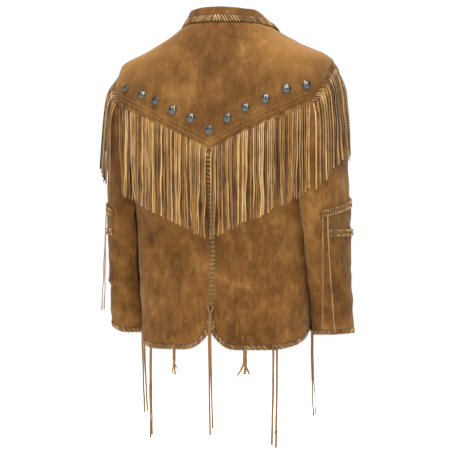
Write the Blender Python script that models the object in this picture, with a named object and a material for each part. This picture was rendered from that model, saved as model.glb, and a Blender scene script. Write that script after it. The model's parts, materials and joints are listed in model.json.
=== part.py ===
"""Suede western jacket with fringes, filled out as worn, with its neck, hem and cuffs open.

Metres, +Z up. The front faces -Y, the wearer's left is +X, and the origin lies between the
shoulders at the height of the back neck seam. The body is a stack of rounded rings, and each
cloth piece is a wall on a patch of that form.
"""
import math

import bmesh
import bpy
import numpy as np

# Cloth and layers
CLOTH = 0.0015
SEAM_GAP = 0.0003
STRIP = 0.0010
STRIP_BASE = 0.0006
YOKE_BASE = 0.0020
SIDES = {"left": 1, "right": -1}
LEFT_DROP = 0.014

# Body rings: height, half width, depth behind and before the axis, side seam's y, roundness
RING_COLUMNS = ("z", "half_width", "back_y", "front_y", "side_y", "power")
RINGS = (
    (0.030, 0.066, 0.062, -0.040, 0.000, 2.2),
    (-0.005, 0.086, 0.076, -0.055, 0.000, 2.3),
    (-0.023, 0.113, 0.087, -0.068, -0.003, 2.5),
    (-0.050, 0.161, 0.100, -0.082, -0.006, 2.7),
    (-0.093, 0.243, 0.115, -0.098, -0.010, 3.1),
    (-0.140, 0.250, 0.127, -0.112, -0.008, 3.7),
    (-0.183, 0.249, 0.133, -0.120, -0.004, 3.9),
    (-0.240, 0.238, 0.137, -0.127, 0.000, 3.4),
    (-0.290, 0.224, 0.137, -0.130, 0.000, 3.0),
    (-0.350, 0.214, 0.131, -0.131, 0.000, 2.7),
    (-0.420, 0.213, 0.119, -0.124, 0.000, 2.5),
    (-0.490, 0.209, 0.107, -0.118, 0.000, 2.4),
    (-0.560, 0.206, 0.109, -0.118, 0.000, 2.4),
    (-0.650, 0.199, 0.123, -0.126, 0.000, 2.4),
    (-0.760, 0.191, 0.136, -0.134, 0.000, 2.4),
)

# Seams and edges
BACK_NECK_Z = 0.005
SIDE_NECK_Z = -0.005
FRONT_NECK_Z = -0.085
FRONT_TIP_ROW_Z = -0.125
SHOULDER_TIP_Z = -0.093
UNDERARM_Z = -0.350
YOKE_END_Z = -0.183
YOKE_POINT_Z = -0.287
HEM_Z = -0.742
HEM_SIDE_RISE = 0.040
HEM_RISE_WAY = (0.45, 2.4)
FRONT_HEM_Z = -0.702
BACK_HALF_WIDTH = 0.285
VENT_TOP_Z = -0.675
VENT_CORNER = (0.070, 0.042)
VENT_GAP = 0.0012
FRONT_LAP = 0.013
FRONT_LAP_DEPTH = 0.0028

# Armhole: height, then how far round the ring its back and front edges lie
ARMHOLE_COLUMNS = ("z", "back", "front")
ARMHOLE = (
    (-0.350, 1.00, 1.00),
    (-0.345, 0.94, 0.92),
    (-0.330, 0.85, 0.82),
    (-0.300, 0.76, 0.72),
    (-0.260, 0.70, 0.66),
    (-0.220, 0.68, 0.65),
    (-0.183, 0.69, 0.67),
    (-0.156, 0.745, 0.72),
    (-0.131, 0.81, 0.79),
    (-0.106, 0.91, 0.89),
    (-0.093, 1.00, 1.00),
)

# Grid of one body panel
PANEL_COLUMNS = 9
SIDE_ROWS = 7
LOW_ARM_ROWS = 5
HIGH_ARM_ROWS = 3
SHOULDER_ROWS = 5
YOKE_ROW = SIDE_ROWS + LOW_ARM_ROWS
YOKE_EDGE_STEEP = 1.05
NECK_CROWDING = 1.35
YOKE_SIDE_GAP = 0.0012
YOKE_NECK_GAP = 0.0060


def smooth_value(table, names, column, z):
    """Read a table's column at height z from a smooth curve through its rows."""
    rows = sorted(table)
    heights = [row[names.index("z")] for row in rows]
    values = [row[names.index(column)] for row in rows]
    z = min(max(z, heights[0]), heights[-1])
    i = min(max(int(np.searchsorted(heights, z)) - 1, 0), len(rows) - 2)
    gap = heights[i + 1] - heights[i]
    f = (z - heights[i]) / gap

    def slope(k):
        if k == 0:
            return (values[1] - values[0]) / (heights[1] - heights[0])
        if k == len(rows) - 1:
            return (values[-1] - values[-2]) / (heights[-1] - heights[-2])
        before = (values[k] - values[k - 1]) / (heights[k] - heights[k - 1])
        after = (values[k + 1] - values[k]) / (heights[k + 1] - heights[k])
        if before * after <= 0:
            return 0.0
        return 2 * before * after / (before + after)

    start = slope(i) * gap
    end = slope(i + 1) * gap
    return (values[i] * (1 + 2 * f) * (1 - f) ** 2 + start * f * (1 - f) ** 2
            + values[i + 1] * f * f * (3 - 2 * f) - end * f * f * (1 - f))


def ring_at(z):
    return {name: smooth_value(RINGS, RING_COLUMNS, name, z) for name in RING_COLUMNS[1:]}


QUARTER = np.linspace(0.0, math.pi / 2, 61)


def quarter_point(half_width, depth, power, part):
    """Point at a part of a quarter ring's length: 0 on the middle, 1 on the side."""
    xs = half_width * np.sin(QUARTER) ** (2 / power)
    ys = depth * np.abs(np.cos(QUARTER)) ** (2 / power)
    along = np.concatenate(([0.0], np.cumsum(np.hypot(np.diff(xs), np.diff(ys)))))
    at = part * along[-1]
    return float(np.interp(at, along, xs)), float(np.interp(at, along, ys))


def body_point(turn, z):
    """Body form: turn 0 is the centre back, 1 the left side, 2 the centre front; right is minus."""
    ring = ring_at(z)
    side = 1 if turn >= 0 else -1
    turn = abs(turn)
    if turn > 2:
        side = -side
        turn = 4 - turn
    depth = ring["back_y"] if turn <= 1 else ring["front_y"]
    part = turn if turn <= 1 else 2 - turn
    x, y = quarter_point(ring["half_width"], depth - ring["side_y"], ring["power"], part)
    return np.array((side * x, ring["side_y"] + y, z))


def unit(vector):
    return vector / max(np.linalg.norm(vector), 1e-12)


def body_normal(turn, z):
    step = 0.02
    across = body_point(turn + step, z) - body_point(turn - step, z)
    up = body_point(turn, z + 0.006) - body_point(turn, z - 0.006)
    return unit(np.cross(up, across))


def armhole_turn(z, face):
    return smooth_value(ARMHOLE, ARMHOLE_COLUMNS, face, z)


def ease(x):
    x = min(max(x, 0.0), 1.0)
    return x * x * (3 - 2 * x)


# Patches of the body form, as (turn, z) of a column part c and a row part f


def hem_z(part):
    """Shirt-tail hem: lowest in the panel's middle, raised at the side seam."""
    start, power = HEM_RISE_WAY
    return HEM_Z + HEM_SIDE_RISE * (max(part - start, 0.0) / (1 - start)) ** power


def back_hem_z(part):
    """The back hem also rounds away at the vent."""
    reach = part * BACK_HALF_WIDTH
    width, height = VENT_CORNER
    return hem_z(part) + height * max(0.0, 1 - reach / width) ** 2.4


def spaced(points, stops):
    """Points of a run at the given parts of its real length on the body."""
    real = np.array([body_point(t, z) for t, z in points])
    along = np.concatenate(([0.0], np.cumsum(np.linalg.norm(np.diff(real, axis=0), axis=1))))
    ts = [t for t, z in points]
    zs = [z for t, z in points]
    return [(float(np.interp(s * along[-1], along, ts)), float(np.interp(s * along[-1], along, zs)))
            for s in stops]


def coons(left, right, bottom, top, columns):
    """Rows of (turn, z) between two side runs, over a bottom and below a top edge."""
    rows = []
    last = len(left) - 1
    for r in range(last + 1):
        f = r / last
        row = []
        for k in range(columns + 1):
            c = k / columns
            flat = [(1 - c) * left[r][a] + c * right[r][a] for a in (0, 1)]
            low = [bottom(c)[a] - (1 - c) * bottom(0)[a] - c * bottom(1)[a] for a in (0, 1)]
            high = [top(c)[a] - (1 - c) * top(0)[a] - c * top(1)[a] for a in (0, 1)]
            row.append(tuple(flat[a] + (1 - f) ** 3 * low[a] + f ** 3 * high[a] for a in (0, 1)))
        rows.append(row)
    return rows


def yoke_edge(c):
    """Lower edge of the yoke: straight from its point up to a short level end at the armhole."""
    rise = (YOKE_END_Z - YOKE_POINT_Z) * min(c * YOKE_EDGE_STEEP, 1.0)
    return (armhole_turn(YOKE_END_Z, "back") * c, YOKE_POINT_Z + rise)


def near_end(part):
    """Row spacing that closes up toward the neck, where the form flares most."""
    return 1 - (1 - part) ** NECK_CROWDING


def shoulder_run():
    """Shoulder seam from its tip to the neck point, as (turn, z) without the tip."""
    rise = SIDE_NECK_Z - SHOULDER_TIP_Z
    return [(1.0, SHOULDER_TIP_Z + rise * near_end(r / SHOULDER_ROWS)) for r in range(1, SHOULDER_ROWS + 1)]


def side_run(bottom_z):
    """Side seam from the hem to the underarm."""
    return [(1.0, float(z)) for z in np.linspace(bottom_z, UNDERARM_Z, SIDE_ROWS + 1)]


def armhole_run(face, low_z, high_z, rows):
    """Armhole edge between two heights, in equal real steps."""
    heights = np.linspace(low_z, high_z, 60)
    path = [(smooth_value(ARMHOLE, ARMHOLE_COLUMNS, face, z), float(z)) for z in heights]
    if face == "front":
        path = [(2 - part, z) for part, z in path]
    steps = spaced(path, [r / rows for r in range(rows + 1)])
    return [(2 - turn, z) if face == "front" else (turn, z) for turn, z in steps]


def back_neck_z(c):
    return BACK_NECK_Z + (SIDE_NECK_Z - BACK_NECK_Z) * ease(c)


def front_neck_z(c):
    """Front neck edge from the centre front, c 0, to the neck point, c 1."""
    return SIDE_NECK_Z + (FRONT_NECK_Z - SIDE_NECK_Z) * (1 - c) ** 1.3


def middle_run(low_z, high_z, rows):
    return [(0.0, low_z + (high_z - low_z) * r / rows) for r in range(rows + 1)]


def back_patch():
    """Half of the back as rows of (turn, z): hem to yoke edge, then yoke edge to neck."""
    side = side_run(back_hem_z(1.0)) + armhole_run("back", UNDERARM_Z, YOKE_END_Z, LOW_ARM_ROWS)[1:]
    middle = middle_run(back_hem_z(0.0), YOKE_POINT_Z, len(side) - 1)
    lower = coons(middle, side, lambda c: (c, back_hem_z(c)), yoke_edge, PANEL_COLUMNS)
    side = armhole_run("back", YOKE_END_Z, SHOULDER_TIP_Z, HIGH_ARM_ROWS) + shoulder_run()
    rows = len(side) - 1
    rise = BACK_NECK_Z - YOKE_POINT_Z
    middle = [(0.0, YOKE_POINT_Z + rise * near_end(r / rows)) for r in range(rows + 1)]
    upper = coons(middle, side, yoke_edge, lambda c: (c, back_neck_z(c)), PANEL_COLUMNS)
    return lower + upper[1:]


def front_patch():
    """Half of the front, level hemmed, as rows of (part, z): part 0 on the centre front."""
    arm_rows = LOW_ARM_ROWS + HIGH_ARM_ROWS
    side = side_run(FRONT_HEM_Z) + armhole_run("front", UNDERARM_Z, SHOULDER_TIP_Z, arm_rows)[1:]
    side += shoulder_run()
    middle = middle_run(FRONT_HEM_Z, FRONT_TIP_ROW_Z, SIDE_ROWS + arm_rows)
    middle += middle_run(FRONT_TIP_ROW_Z, FRONT_NECK_Z, SHOULDER_ROWS)[1:]
    return coons(middle, side, lambda c: (c, FRONT_HEM_Z), lambda c: (c, front_neck_z(c)), PANEL_COLUMNS)


# Sleeve rings below the cap: height, place, size, and how far the section's back leans inward
SLEEVE_COLUMNS = ("z", "x_right", "x_left", "y_right", "y_left", "half_width", "half_depth", "lean")
SLEEVE_RINGS = (
    (-0.400, 0.2375, 0.2435, 0.026, -0.012, 0.046, 0.083, 14),
    (-0.440, 0.2395, 0.2430, 0.024, -0.012, 0.046, 0.080, 13),
    (-0.484, 0.2410, 0.2420, 0.016, -0.014, 0.047, 0.075, 11),
    (-0.560, 0.2400, 0.2400, 0.000, -0.020, 0.048, 0.068, 8),
    (-0.640, 0.2370, 0.2370, -0.022, -0.030, 0.050, 0.059, 4),
    (-0.710, 0.2350, 0.2350, -0.042, -0.038, 0.052, 0.050, 0),
)
CAP_STOPS = (0.0, 0.07, 0.20, 0.36, 0.54, 0.72, 0.87, 1.0)
SLEEVE_STOPS = (-0.400, -0.440, -0.484, -0.530, -0.580, -0.630, -0.675, -0.710)
SLEEVE_SEAM = 0.0009
SLEEVE_TWIST = math.radians(4)
SLEEVE_PIECES = {"sleeve_outer_": (-5, 2), "sleeve_under_": (2, 11)}
CUFF_RISE = {"left": 0.018, "right": 0.004}
SLEEVE_CLEARANCE = 0.004
CAP_PULL = 0.70
CAP_OUT = {"left": 0.66, "right": 0.41}
CAP_BACK = 0.14
CAP_DOWN = 0.62
CAP_UNDER = 0.14
CAP_END_LEAN = {"left": 0.0, "right": 0.125}

# Collar: leaf edge as (part of the half collar, turn on the body, height)
COLLAR_EDGE_COLUMNS = ("z", "turn", "height")
COLLAR_EDGE = (
    (0.00, 0.00, -0.002),
    (0.25, 0.50, -0.006),
    (0.50, 1.00, -0.018),
    (0.59, 1.24, -0.025),
    (0.67, 1.42, -0.042),
    (0.80, 1.60, -0.079),
    (0.90, 1.69, -0.114),
    (1.00, 1.75, -0.150),
)
COLLAR_END_TURN = 1.955
COLLAR_HALF_COLUMNS = 11
COLLAR_SEAM = 0.0022
COLLAR_CLEARANCE = 0.0075
FOLD_HALF = 0.0026

# Collar fold: how far it leans in from the neck seam, as a share, and how high it stands on it
FOLD_COLUMNS = ("z", "inset", "rise")
FOLDS = (
    (0.00, 0.080, 0.0205),
    (0.35, 0.030, 0.0220),
    (0.51, 0.065, 0.0160),
    (0.70, 0.095, 0.0145),
    (1.00, 0.090, 0.0170),
)

# Fringes
BACK_STRANDS_A_COLUMN = 5
BACK_STRAND_WIDTH = 0.0040
BACK_STRAND_LENGTH = 0.205
ARM_STRANDS_A_COLUMN = 8
ARM_STRAND_WIDTH = 0.0038
ARM_STRAND_LENGTH = 0.198
ARM_STRAND_LIFT = 0.0016
ARM_TIP_LIFT = {"left": 0.017, "right": 0.002}
ARM_FRINGE_ROWS = 8
HEADER_BELOW = 0.009
OUTER_TIP_Y = 0.121

# Conchos on the yoke, and buttons on the front lap
CONCHO_COLUMNS = ("x", "z")
CONCHOS = (
    (0.2050, -0.1460),
    (0.1620, -0.1650),
    (0.1270, -0.1815),
    (0.0860, -0.2030),
    (0.0425, -0.2215),
    (-0.0015, -0.2480),
    (-0.0435, -0.2215),
    (-0.0855, -0.1990),
    (-0.1315, -0.1785),
    (-0.1775, -0.1570),
    (-0.2180, -0.1480),
)
CONCHO_RADIUS = 0.0100
CONCHO_RISE = 0.0042
BUTTON_HEIGHTS = (-0.165, -0.285, -0.405, -0.525, -0.645)
BUTTON_RADIUS = 0.0090
BUTTON_RISE = 0.0030

# Colour, roughness and metallic value of each material
MATERIALS = {
    "suede": ((0.42, 0.25, 0.12), 0.92, 0.0),
    "suede_dark": ((0.20, 0.12, 0.055), 0.92, 0.0),
    "fringe": ((0.45, 0.28, 0.15), 0.92, 0.0),
    "thong": ((0.38, 0.22, 0.11), 0.90, 0.0),
    "gunmetal": ((0.20, 0.22, 0.25), 0.28, 1.0),
    "button": ((0.12, 0.07, 0.04), 0.45, 0.0),
}


def clear_scene():
    for thing in list(bpy.data.objects):
        bpy.data.objects.remove(thing, do_unlink=True)


def material(name):
    found = bpy.data.materials.get(name)
    if found:
        return found
    colour, roughness, metallic = MATERIALS[name]
    made = bpy.data.materials.new(name)
    made.use_nodes = True
    shader = made.node_tree.nodes["Principled BSDF"]
    shader.inputs["Base Color"].default_value = (*colour, 1.0)
    shader.inputs["Roughness"].default_value = roughness
    shader.inputs["Metallic"].default_value = metallic
    return made


def posed(point):
    """The wearer's left shoulder hangs a little lower than the right one."""
    x, y, z = point
    drop = LEFT_DROP * ease((x - 0.03) / 0.18) * ease((z + 0.20) / 0.10)
    return (x, y, z - drop)


def add_object(name, verts, faces, finish):
    """One closed solid with its faces turned out."""
    mesh = bpy.data.meshes.new(name)
    mesh.from_pydata([posed(v) for v in verts], [], faces)
    work = bmesh.new()
    work.from_mesh(mesh)
    bmesh.ops.recalc_face_normals(work, faces=work.faces[:])
    bmesh.ops.triangulate(work, faces=work.faces[:])
    work.to_mesh(mesh)
    work.free()
    mesh.materials.append(material(finish))
    mesh.shade_smooth()
    mesh.set_sharp_from_angle(angle=math.radians(40))
    made = bpy.data.objects.new(name, mesh)
    bpy.context.scene.collection.objects.link(made)
    return made


def wall(name, points, normals, outside, inside, finish, closed=False):
    """Closed cloth wall between two offsets of a grid of points; closed joins its columns."""
    points = np.asarray(points)
    normals = np.asarray(normals)
    rows, columns = points.shape[:2]
    outer = (points + normals * outside).reshape(-1, 3)
    inner = (points + normals * inside).reshape(-1, 3)
    verts = np.concatenate((outer, inner))
    below = rows * columns
    wrap = columns if closed else columns - 1
    faces = []
    for r in range(rows - 1):
        for k in range(wrap):
            a = r * columns + k
            b = r * columns + (k + 1) % columns
            faces.append((a, b, b + columns, a + columns))
            faces.append((a + below, a + columns + below, b + columns + below, b + below))
    for k in range(wrap):
        for row in (0, rows - 1):
            a = row * columns + k
            b = row * columns + (k + 1) % columns
            faces.append((a, b, b + below, a + below))
    if not closed:
        for r in range(rows - 1):
            for k in (0, columns - 1):
                a = r * columns + k
                b = a + columns
                faces.append((a, b, b + below, a + below))
    return add_object(name, verts, faces, finish)


def grid_normals(points, closed=False):
    """Normals of a grid from its own neighbours: across the row times up the column."""
    points = np.asarray(points)
    if closed:
        across = np.roll(points, -1, axis=1) - np.roll(points, 1, axis=1)
    else:
        across = np.gradient(points, axis=1)
    along = np.gradient(points, axis=0)
    normals = np.cross(across, along)
    return normals / np.maximum(np.linalg.norm(normals, axis=2, keepdims=True), 1e-12)


def drawn_in(points, gap, edges=("top", "bottom", "first", "last")):
    """The same grid with the named edges drawn in by a gap."""
    moved = np.array(points, dtype=float)

    def draw(edge, neighbour):
        step = neighbour - edge
        length = np.maximum(np.linalg.norm(step, axis=-1, keepdims=True), 1e-12)
        return edge + step / length * gap

    if "bottom" in edges:
        moved[0] = draw(moved[0], moved[1])
    if "top" in edges:
        moved[-1] = draw(moved[-1], moved[-2])
    if "first" in edges:
        moved[:, 0] = draw(moved[:, 0], moved[:, 1])
    if "last" in edges:
        moved[:, -1] = draw(moved[:, -1], moved[:, -2])
    return moved


def on_body(patch, face, side):
    """A patch's points and outward normals on one side of the back or the front."""
    points = []
    normals = []
    for row in patch:
        turns = [side * (part if face == "back" else 2 - part) for part, z in row]
        if side < 0:
            turns = [turn if abs(turn) > 1e-9 else -1e-9 for turn in turns]
        points.append([body_point(turn, z) for turn, (part, z) in zip(turns, row)])
        normals.append([body_normal(turn, z) for turn, (part, z) in zip(turns, row)])
    return np.array(points), np.array(normals)


# Body panels and yoke


def make_back(side_name, points, normals):
    panel = drawn_in(points, SEAM_GAP)
    for r in range(len(panel)):
        drop = VENT_TOP_Z - panel[r, 0, 2]
        if drop > 0:
            panel[r, 0, 0] += SIDES[side_name] * VENT_GAP * ease(drop / 0.02)
    wall("back_" + side_name, panel, normals, 0.0, -CLOTH, "suede")


def make_front(side_name):
    side = SIDES[side_name]
    points, normals = on_body(front_patch(), "front", side)
    lap = points[:, :1].copy()
    lap[:, :, 0] = -side * FRONT_LAP
    near = points[:, :1].copy()
    near[:, :, 0] = side * FRONT_LAP * 1.6
    middle_normals = normals[:, :1]
    points = np.concatenate((lap, points[:, :1], near, points[:, 1:]), axis=1)
    normals = np.concatenate((middle_normals, middle_normals, middle_normals, normals[:, 1:]), axis=1)
    if side_name == "right":
        points[:, :3] -= normals[:, :3] * FRONT_LAP_DEPTH
    panel = drawn_in(points, SEAM_GAP)
    wall("front_" + side_name, panel, normals, 0.0, -CLOTH, "suede")
    return points, normals


def make_yoke(points, normals):
    """The whole yoke, both halves in one, on the upper rows of the back."""
    left = points[YOKE_ROW:]
    left_normals = normals[YOKE_ROW:]
    flip = np.array((-1, 1, 1))
    whole = np.concatenate(((left * flip)[:, :0:-1], left), axis=1)
    whole_normals = np.concatenate(((left_normals * flip)[:, :0:-1], left_normals), axis=1)
    panel = drawn_in(whole, YOKE_SIDE_GAP, ("first", "last"))
    panel = drawn_in(panel, YOKE_NECK_GAP, ("top",))
    wall("yoke_back", panel, whole_normals, YOKE_BASE + CLOTH, YOKE_BASE, "suede")
    return panel + whole_normals * (YOKE_BASE + CLOTH), whole_normals


# Sleeves


def armhole_loop():
    """Armhole as body turns and heights: tip, down the back, underarm, up the front."""
    back = armhole_run("back", YOKE_END_Z, SHOULDER_TIP_Z, HIGH_ARM_ROWS)[::-1]
    back += armhole_run("back", UNDERARM_Z, YOKE_END_Z, LOW_ARM_ROWS)[::-1][1:]
    rows = LOW_ARM_ROWS + HIGH_ARM_ROWS
    front = armhole_run("front", UNDERARM_Z, SHOULDER_TIP_Z, rows)[1:-1]
    return back + [(2 - part, z) for part, z in front]


def sleeve_ring(side_name, angle, z):
    """Point of a sleeve's section: angle 0 faces out, a quarter turn faces back."""
    ring = {n: smooth_value(SLEEVE_RINGS, SLEEVE_COLUMNS, n, z) for n in SLEEVE_COLUMNS[1:]}
    lean = math.radians(ring["lean"])
    out = ring["half_width"] * math.cos(angle)
    back = ring["half_depth"] * math.sin(angle)
    x = ring["x_" + side_name] + out * math.cos(lean) - back * math.sin(lean)
    y = ring["y_" + side_name] + out * math.sin(lean) + back * math.cos(lean)
    return np.array((SIDES[side_name] * x, y, z))


def clear_of_body(point, side, clearance):
    """Keep a sleeve's inner side just outside the body where the two press together."""
    ring = ring_at(point[2])
    depth = ring["back_y"] - ring["side_y"] if point[1] > ring["side_y"] else ring["side_y"] - ring["front_y"]
    share = min(abs(point[1] - ring["side_y"]) / depth, 1.0)
    reach = ring["half_width"] * (1 - share ** ring["power"]) ** (1 / ring["power"])
    if share < 1.0 and side * point[0] < reach + clearance:
        point = np.array((side * (reach + clearance), point[1], point[2]))
    return point


def sleeve_point(side_name, start, angle, v):
    """Sleeve form: v 0 on the armhole, 1 at the first ring, then a height below it."""
    side = SIDES[side_name]
    if v < 0:
        return clear_of_body(sleeve_ring(side_name, angle, v), side, SLEEVE_CLEARANCE)
    end = sleeve_ring(side_name, angle, SLEEVE_RINGS[0][0])
    end = clear_of_body(end, side, SLEEVE_CLEARANCE)
    reach = np.linalg.norm(end - start) * CAP_PULL
    under = (1 - math.cos(angle)) / 2
    down = -CAP_DOWN - CAP_UNDER * under
    leave = unit(np.array((side * CAP_OUT[side_name], CAP_BACK * math.sin(angle), down)))
    arrive = np.array((side * CAP_END_LEAN[side_name], 0, -1.0)) * reach
    start = start + leave * SLEEVE_SEAM
    point = ((1 + 2 * v) * (1 - v) ** 2 * start + v * (1 - v) ** 2 * leave * reach
             + v * v * (3 - 2 * v) * end - v * v * (1 - v) * arrive)
    if point[2] < UNDERARM_Z + 0.05:
        point = clear_of_body(point, side, SLEEVE_CLEARANCE * ease(v / 0.25))
    return point


def sleeve_grid(side_name):
    """Rows of a sleeve from armhole to cuff, with the armhole's own corners in its first row."""
    side = SIDES[side_name]
    loop = [body_point(side * turn, z) for turn, z in armhole_loop()]
    count = len(loop)
    angles = [2 * math.pi * k / count + SLEEVE_TWIST for k in range(count)]
    stops = list(CAP_STOPS) + list(SLEEVE_STOPS[1:])
    grid = []
    for v in stops:
        grid.append([sleeve_point(side_name, loop[k], angles[k], v) for k in range(count)])
    grid = np.array(grid)
    for k in range(count):
        grid[-1, k, 2] += CUFF_RISE[side_name] * max(0.0, math.cos(angles[k])) ** 2
    normals = grid_normals(grid, closed=True)
    middle = grid.mean(axis=1, keepdims=True)
    outward = ((grid - middle) * normals).sum()
    return grid, normals if outward > 0 else -normals


def make_sleeve(side_name):
    """Outer and under sleeve, seamed at the back and under the arm."""
    grid, normals = sleeve_grid(side_name)
    count = grid.shape[1]
    for name, (first, last) in SLEEVE_PIECES.items():
        order = [k % count for k in range(first, last + 1)]
        piece = drawn_in(grid[:, order], SEAM_GAP, ("first", "last"))
        wall(name + side_name, piece, normals[:, order], 0.0, -CLOTH, "suede")
    return grid, normals


PATCH_COLUMNS = (-3, -2, -1, 0, 1, 2, 2.3)
PATCH_TOP = (0.05, 0.80)
PATCH_BASE = 0.0004
PATCH_CLOTH = 0.0012


def round_the_sleeve(row, at):
    """A row's value at a column, whole or fractional, that may lie before its first."""
    low = math.floor(at)
    share = at - low
    return row[low % len(row)] * (1 - share) + row[(low + 1) % len(row)] * share


def make_elbow_patch(side_name, grid, normals):
    """Darker panel round the sleeve's outer and back side, its upper edge lower at the back."""
    first = len(CAP_STOPS) - 1
    points = []
    lifts = []
    for k in PATCH_COLUMNS:
        share = (k - PATCH_COLUMNS[0]) / (PATCH_COLUMNS[-1] - PATCH_COLUMNS[0])
        top = PATCH_TOP[0] + (PATCH_TOP[1] - PATCH_TOP[0]) * share
        high, middle, low = (round_the_sleeve(grid[r], k) for r in (first, first + 1, first + 2))
        points.append([high * (1 - top) + middle * top, middle, low])
        lifts.append([unit(round_the_sleeve(normals[r], k)) for r in (first, first + 1, first + 2)])
    points = np.array(points).transpose(1, 0, 2)
    lifts = np.array(lifts).transpose(1, 0, 2)
    wall("elbow_" + side_name, points, lifts, PATCH_BASE + PATCH_CLOTH, PATCH_BASE, "suede_dark")


# Collar


def outside_body(point, clearance):
    """Move a point out to a clearance from the body's ring at its height, if it lies within."""
    ring = ring_at(point[2])
    y = point[1] - ring["side_y"]
    depth = ring["back_y"] - ring["side_y"] if y > 0 else ring["side_y"] - ring["front_y"]
    power = ring["power"]
    size = (abs(point[0]) / ring["half_width"]) ** power + (abs(y) / depth) ** power
    size = max(size, 1e-6) ** (1 / power)
    reach = math.hypot(point[0], y)
    wanted = reach / size + clearance
    if reach < wanted:
        scale = wanted / reach
        point = np.array((point[0] * scale, ring["side_y"] + y * scale, point[2]))
    return point


def collar_columns():
    """Cross sections of the left half collar, from the centre back to its front end."""
    sections = []
    for k in range(COLLAR_HALF_COLUMNS + 1):
        c = k / COLLAR_HALF_COLUMNS
        turn = COLLAR_END_TURN * c
        neck = back_neck_z(turn) if turn <= 1 else front_neck_z(2 - turn)
        base = body_point(turn, neck)
        base[2] += COLLAR_SEAM
        rise = smooth_value(FOLDS, FOLD_COLUMNS, "rise", c)
        inward = np.array((-base[0], -base[1], 0.0)) * smooth_value(FOLDS, FOLD_COLUMNS, "inset", c)
        fold = base + inward + np.array((0, 0, rise))
        out = unit(np.array((base[0], base[1] + 0.01, 0.0)))
        edge_turn = smooth_value(COLLAR_EDGE, COLLAR_EDGE_COLUMNS, "turn", c)
        edge_z = smooth_value(COLLAR_EDGE, COLLAR_EDGE_COLUMNS, "height", c)
        edge = body_point(edge_turn, edge_z) + body_normal(edge_turn, edge_z) * COLLAR_CLEARANCE
        start = fold + out * FOLD_HALF
        section = [base, (base + fold) / 2 - out * FOLD_HALF * 0.4, fold - out * FOLD_HALF]
        section.append(fold + np.array((0, 0, FOLD_HALF)))
        section.append(start)
        for share in (0.33, 0.66):
            section.append(outside_body(start + (edge - start) * share, COLLAR_CLEARANCE * (0.5 + share)))
        section.append(edge)
        sections.append(section)
    return sections


def make_collar():
    left = np.array(collar_columns())
    right = (left * np.array((-1, 1, 1)))[:0:-1]
    grid = np.concatenate((right, left)).transpose(1, 0, 2)
    normals = grid_normals(grid)
    if (normals[0] * (grid[0] * np.array((1, 1, 0)))).sum() > 0:
        normals = -normals
    wall("collar", grid, normals, CLOTH / 2, -CLOTH / 2, "suede")
    return grid, normals


# Fringes and ties


def strand_rings(path, width_way, face_way, width, thickness):
    rings = []
    for centre, across, out in zip(path, width_way, face_way):
        half = across * width / 2
        lift = out * thickness / 2
        rings.append([centre - half + lift, centre + half + lift, centre + half - lift, centre - half - lift])
    return rings


def fringe(name, top, bottom, lifts, base, thickness, strands, finish):
    """Header strip with strands drawn from its lower rim.

    top, bottom and lifts hold one row per header corner, two corners for each strand, and
    strands holds for each one the rings that follow its root.
    """
    verts = []
    faces = []
    count = len(top)
    for k in range(count):
        for row in (top, bottom):
            verts.append(row[k] + lifts[k] * (base + thickness))
            verts.append(row[k] + lifts[k] * base)
    for k in range(count - 1):
        a = 4 * k
        b = a + 4
        faces.append((a, b, b + 2, a + 2))
        faces.append((a + 1, a + 3, b + 3, b + 1))
        faces.append((a, a + 1, b + 1, b))
        if k % 2:
            faces.append((a + 2, b + 2, b + 3, a + 3))
    for end in (0, 4 * (count - 1)):
        faces.append((end, end + 2, end + 3, end + 1))
    for i, rings in enumerate(strands):
        a = 8 * i
        last = [a + 2, a + 6, a + 7, a + 3]
        for ring in rings:
            fresh = list(range(len(verts), len(verts) + 4))
            verts.extend(ring)
            for e in range(4):
                n = (e + 1) % 4
                faces.append((last[e], last[n], fresh[n], fresh[e]))
            last = fresh
        faces.append(tuple(last))
    return add_object(name, verts, faces, finish)


def stepped(points, at):
    """Rows of a coarse edge read at fractional column places."""
    points = np.asarray(points)
    low = min(max(int(math.floor(at)), 0), len(points) - 2)
    share = at - low
    return points[low] * (1 - share) + points[low + 1] * share


def toward(edge, neighbour, distance):
    step = neighbour - edge
    return edge + step / np.linalg.norm(step, axis=-1, keepdims=True) * distance


def sway(seed, reach):
    """Small even wander of a strand, different for each seed."""
    return reach * (math.sin(seed * 12.9898) * 0.6 + math.sin(seed * 4.1414 + 1.3) * 0.4)


def strand_places(count, start, end, share):
    """Header corner places along a run: each strand's two sides, then the gap to the next."""
    pitch = (end - start) / count
    places = []
    for i in range(count):
        places.append(start + i * pitch)
        places.append(start + (i + share) * pitch)
    return places


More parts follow.
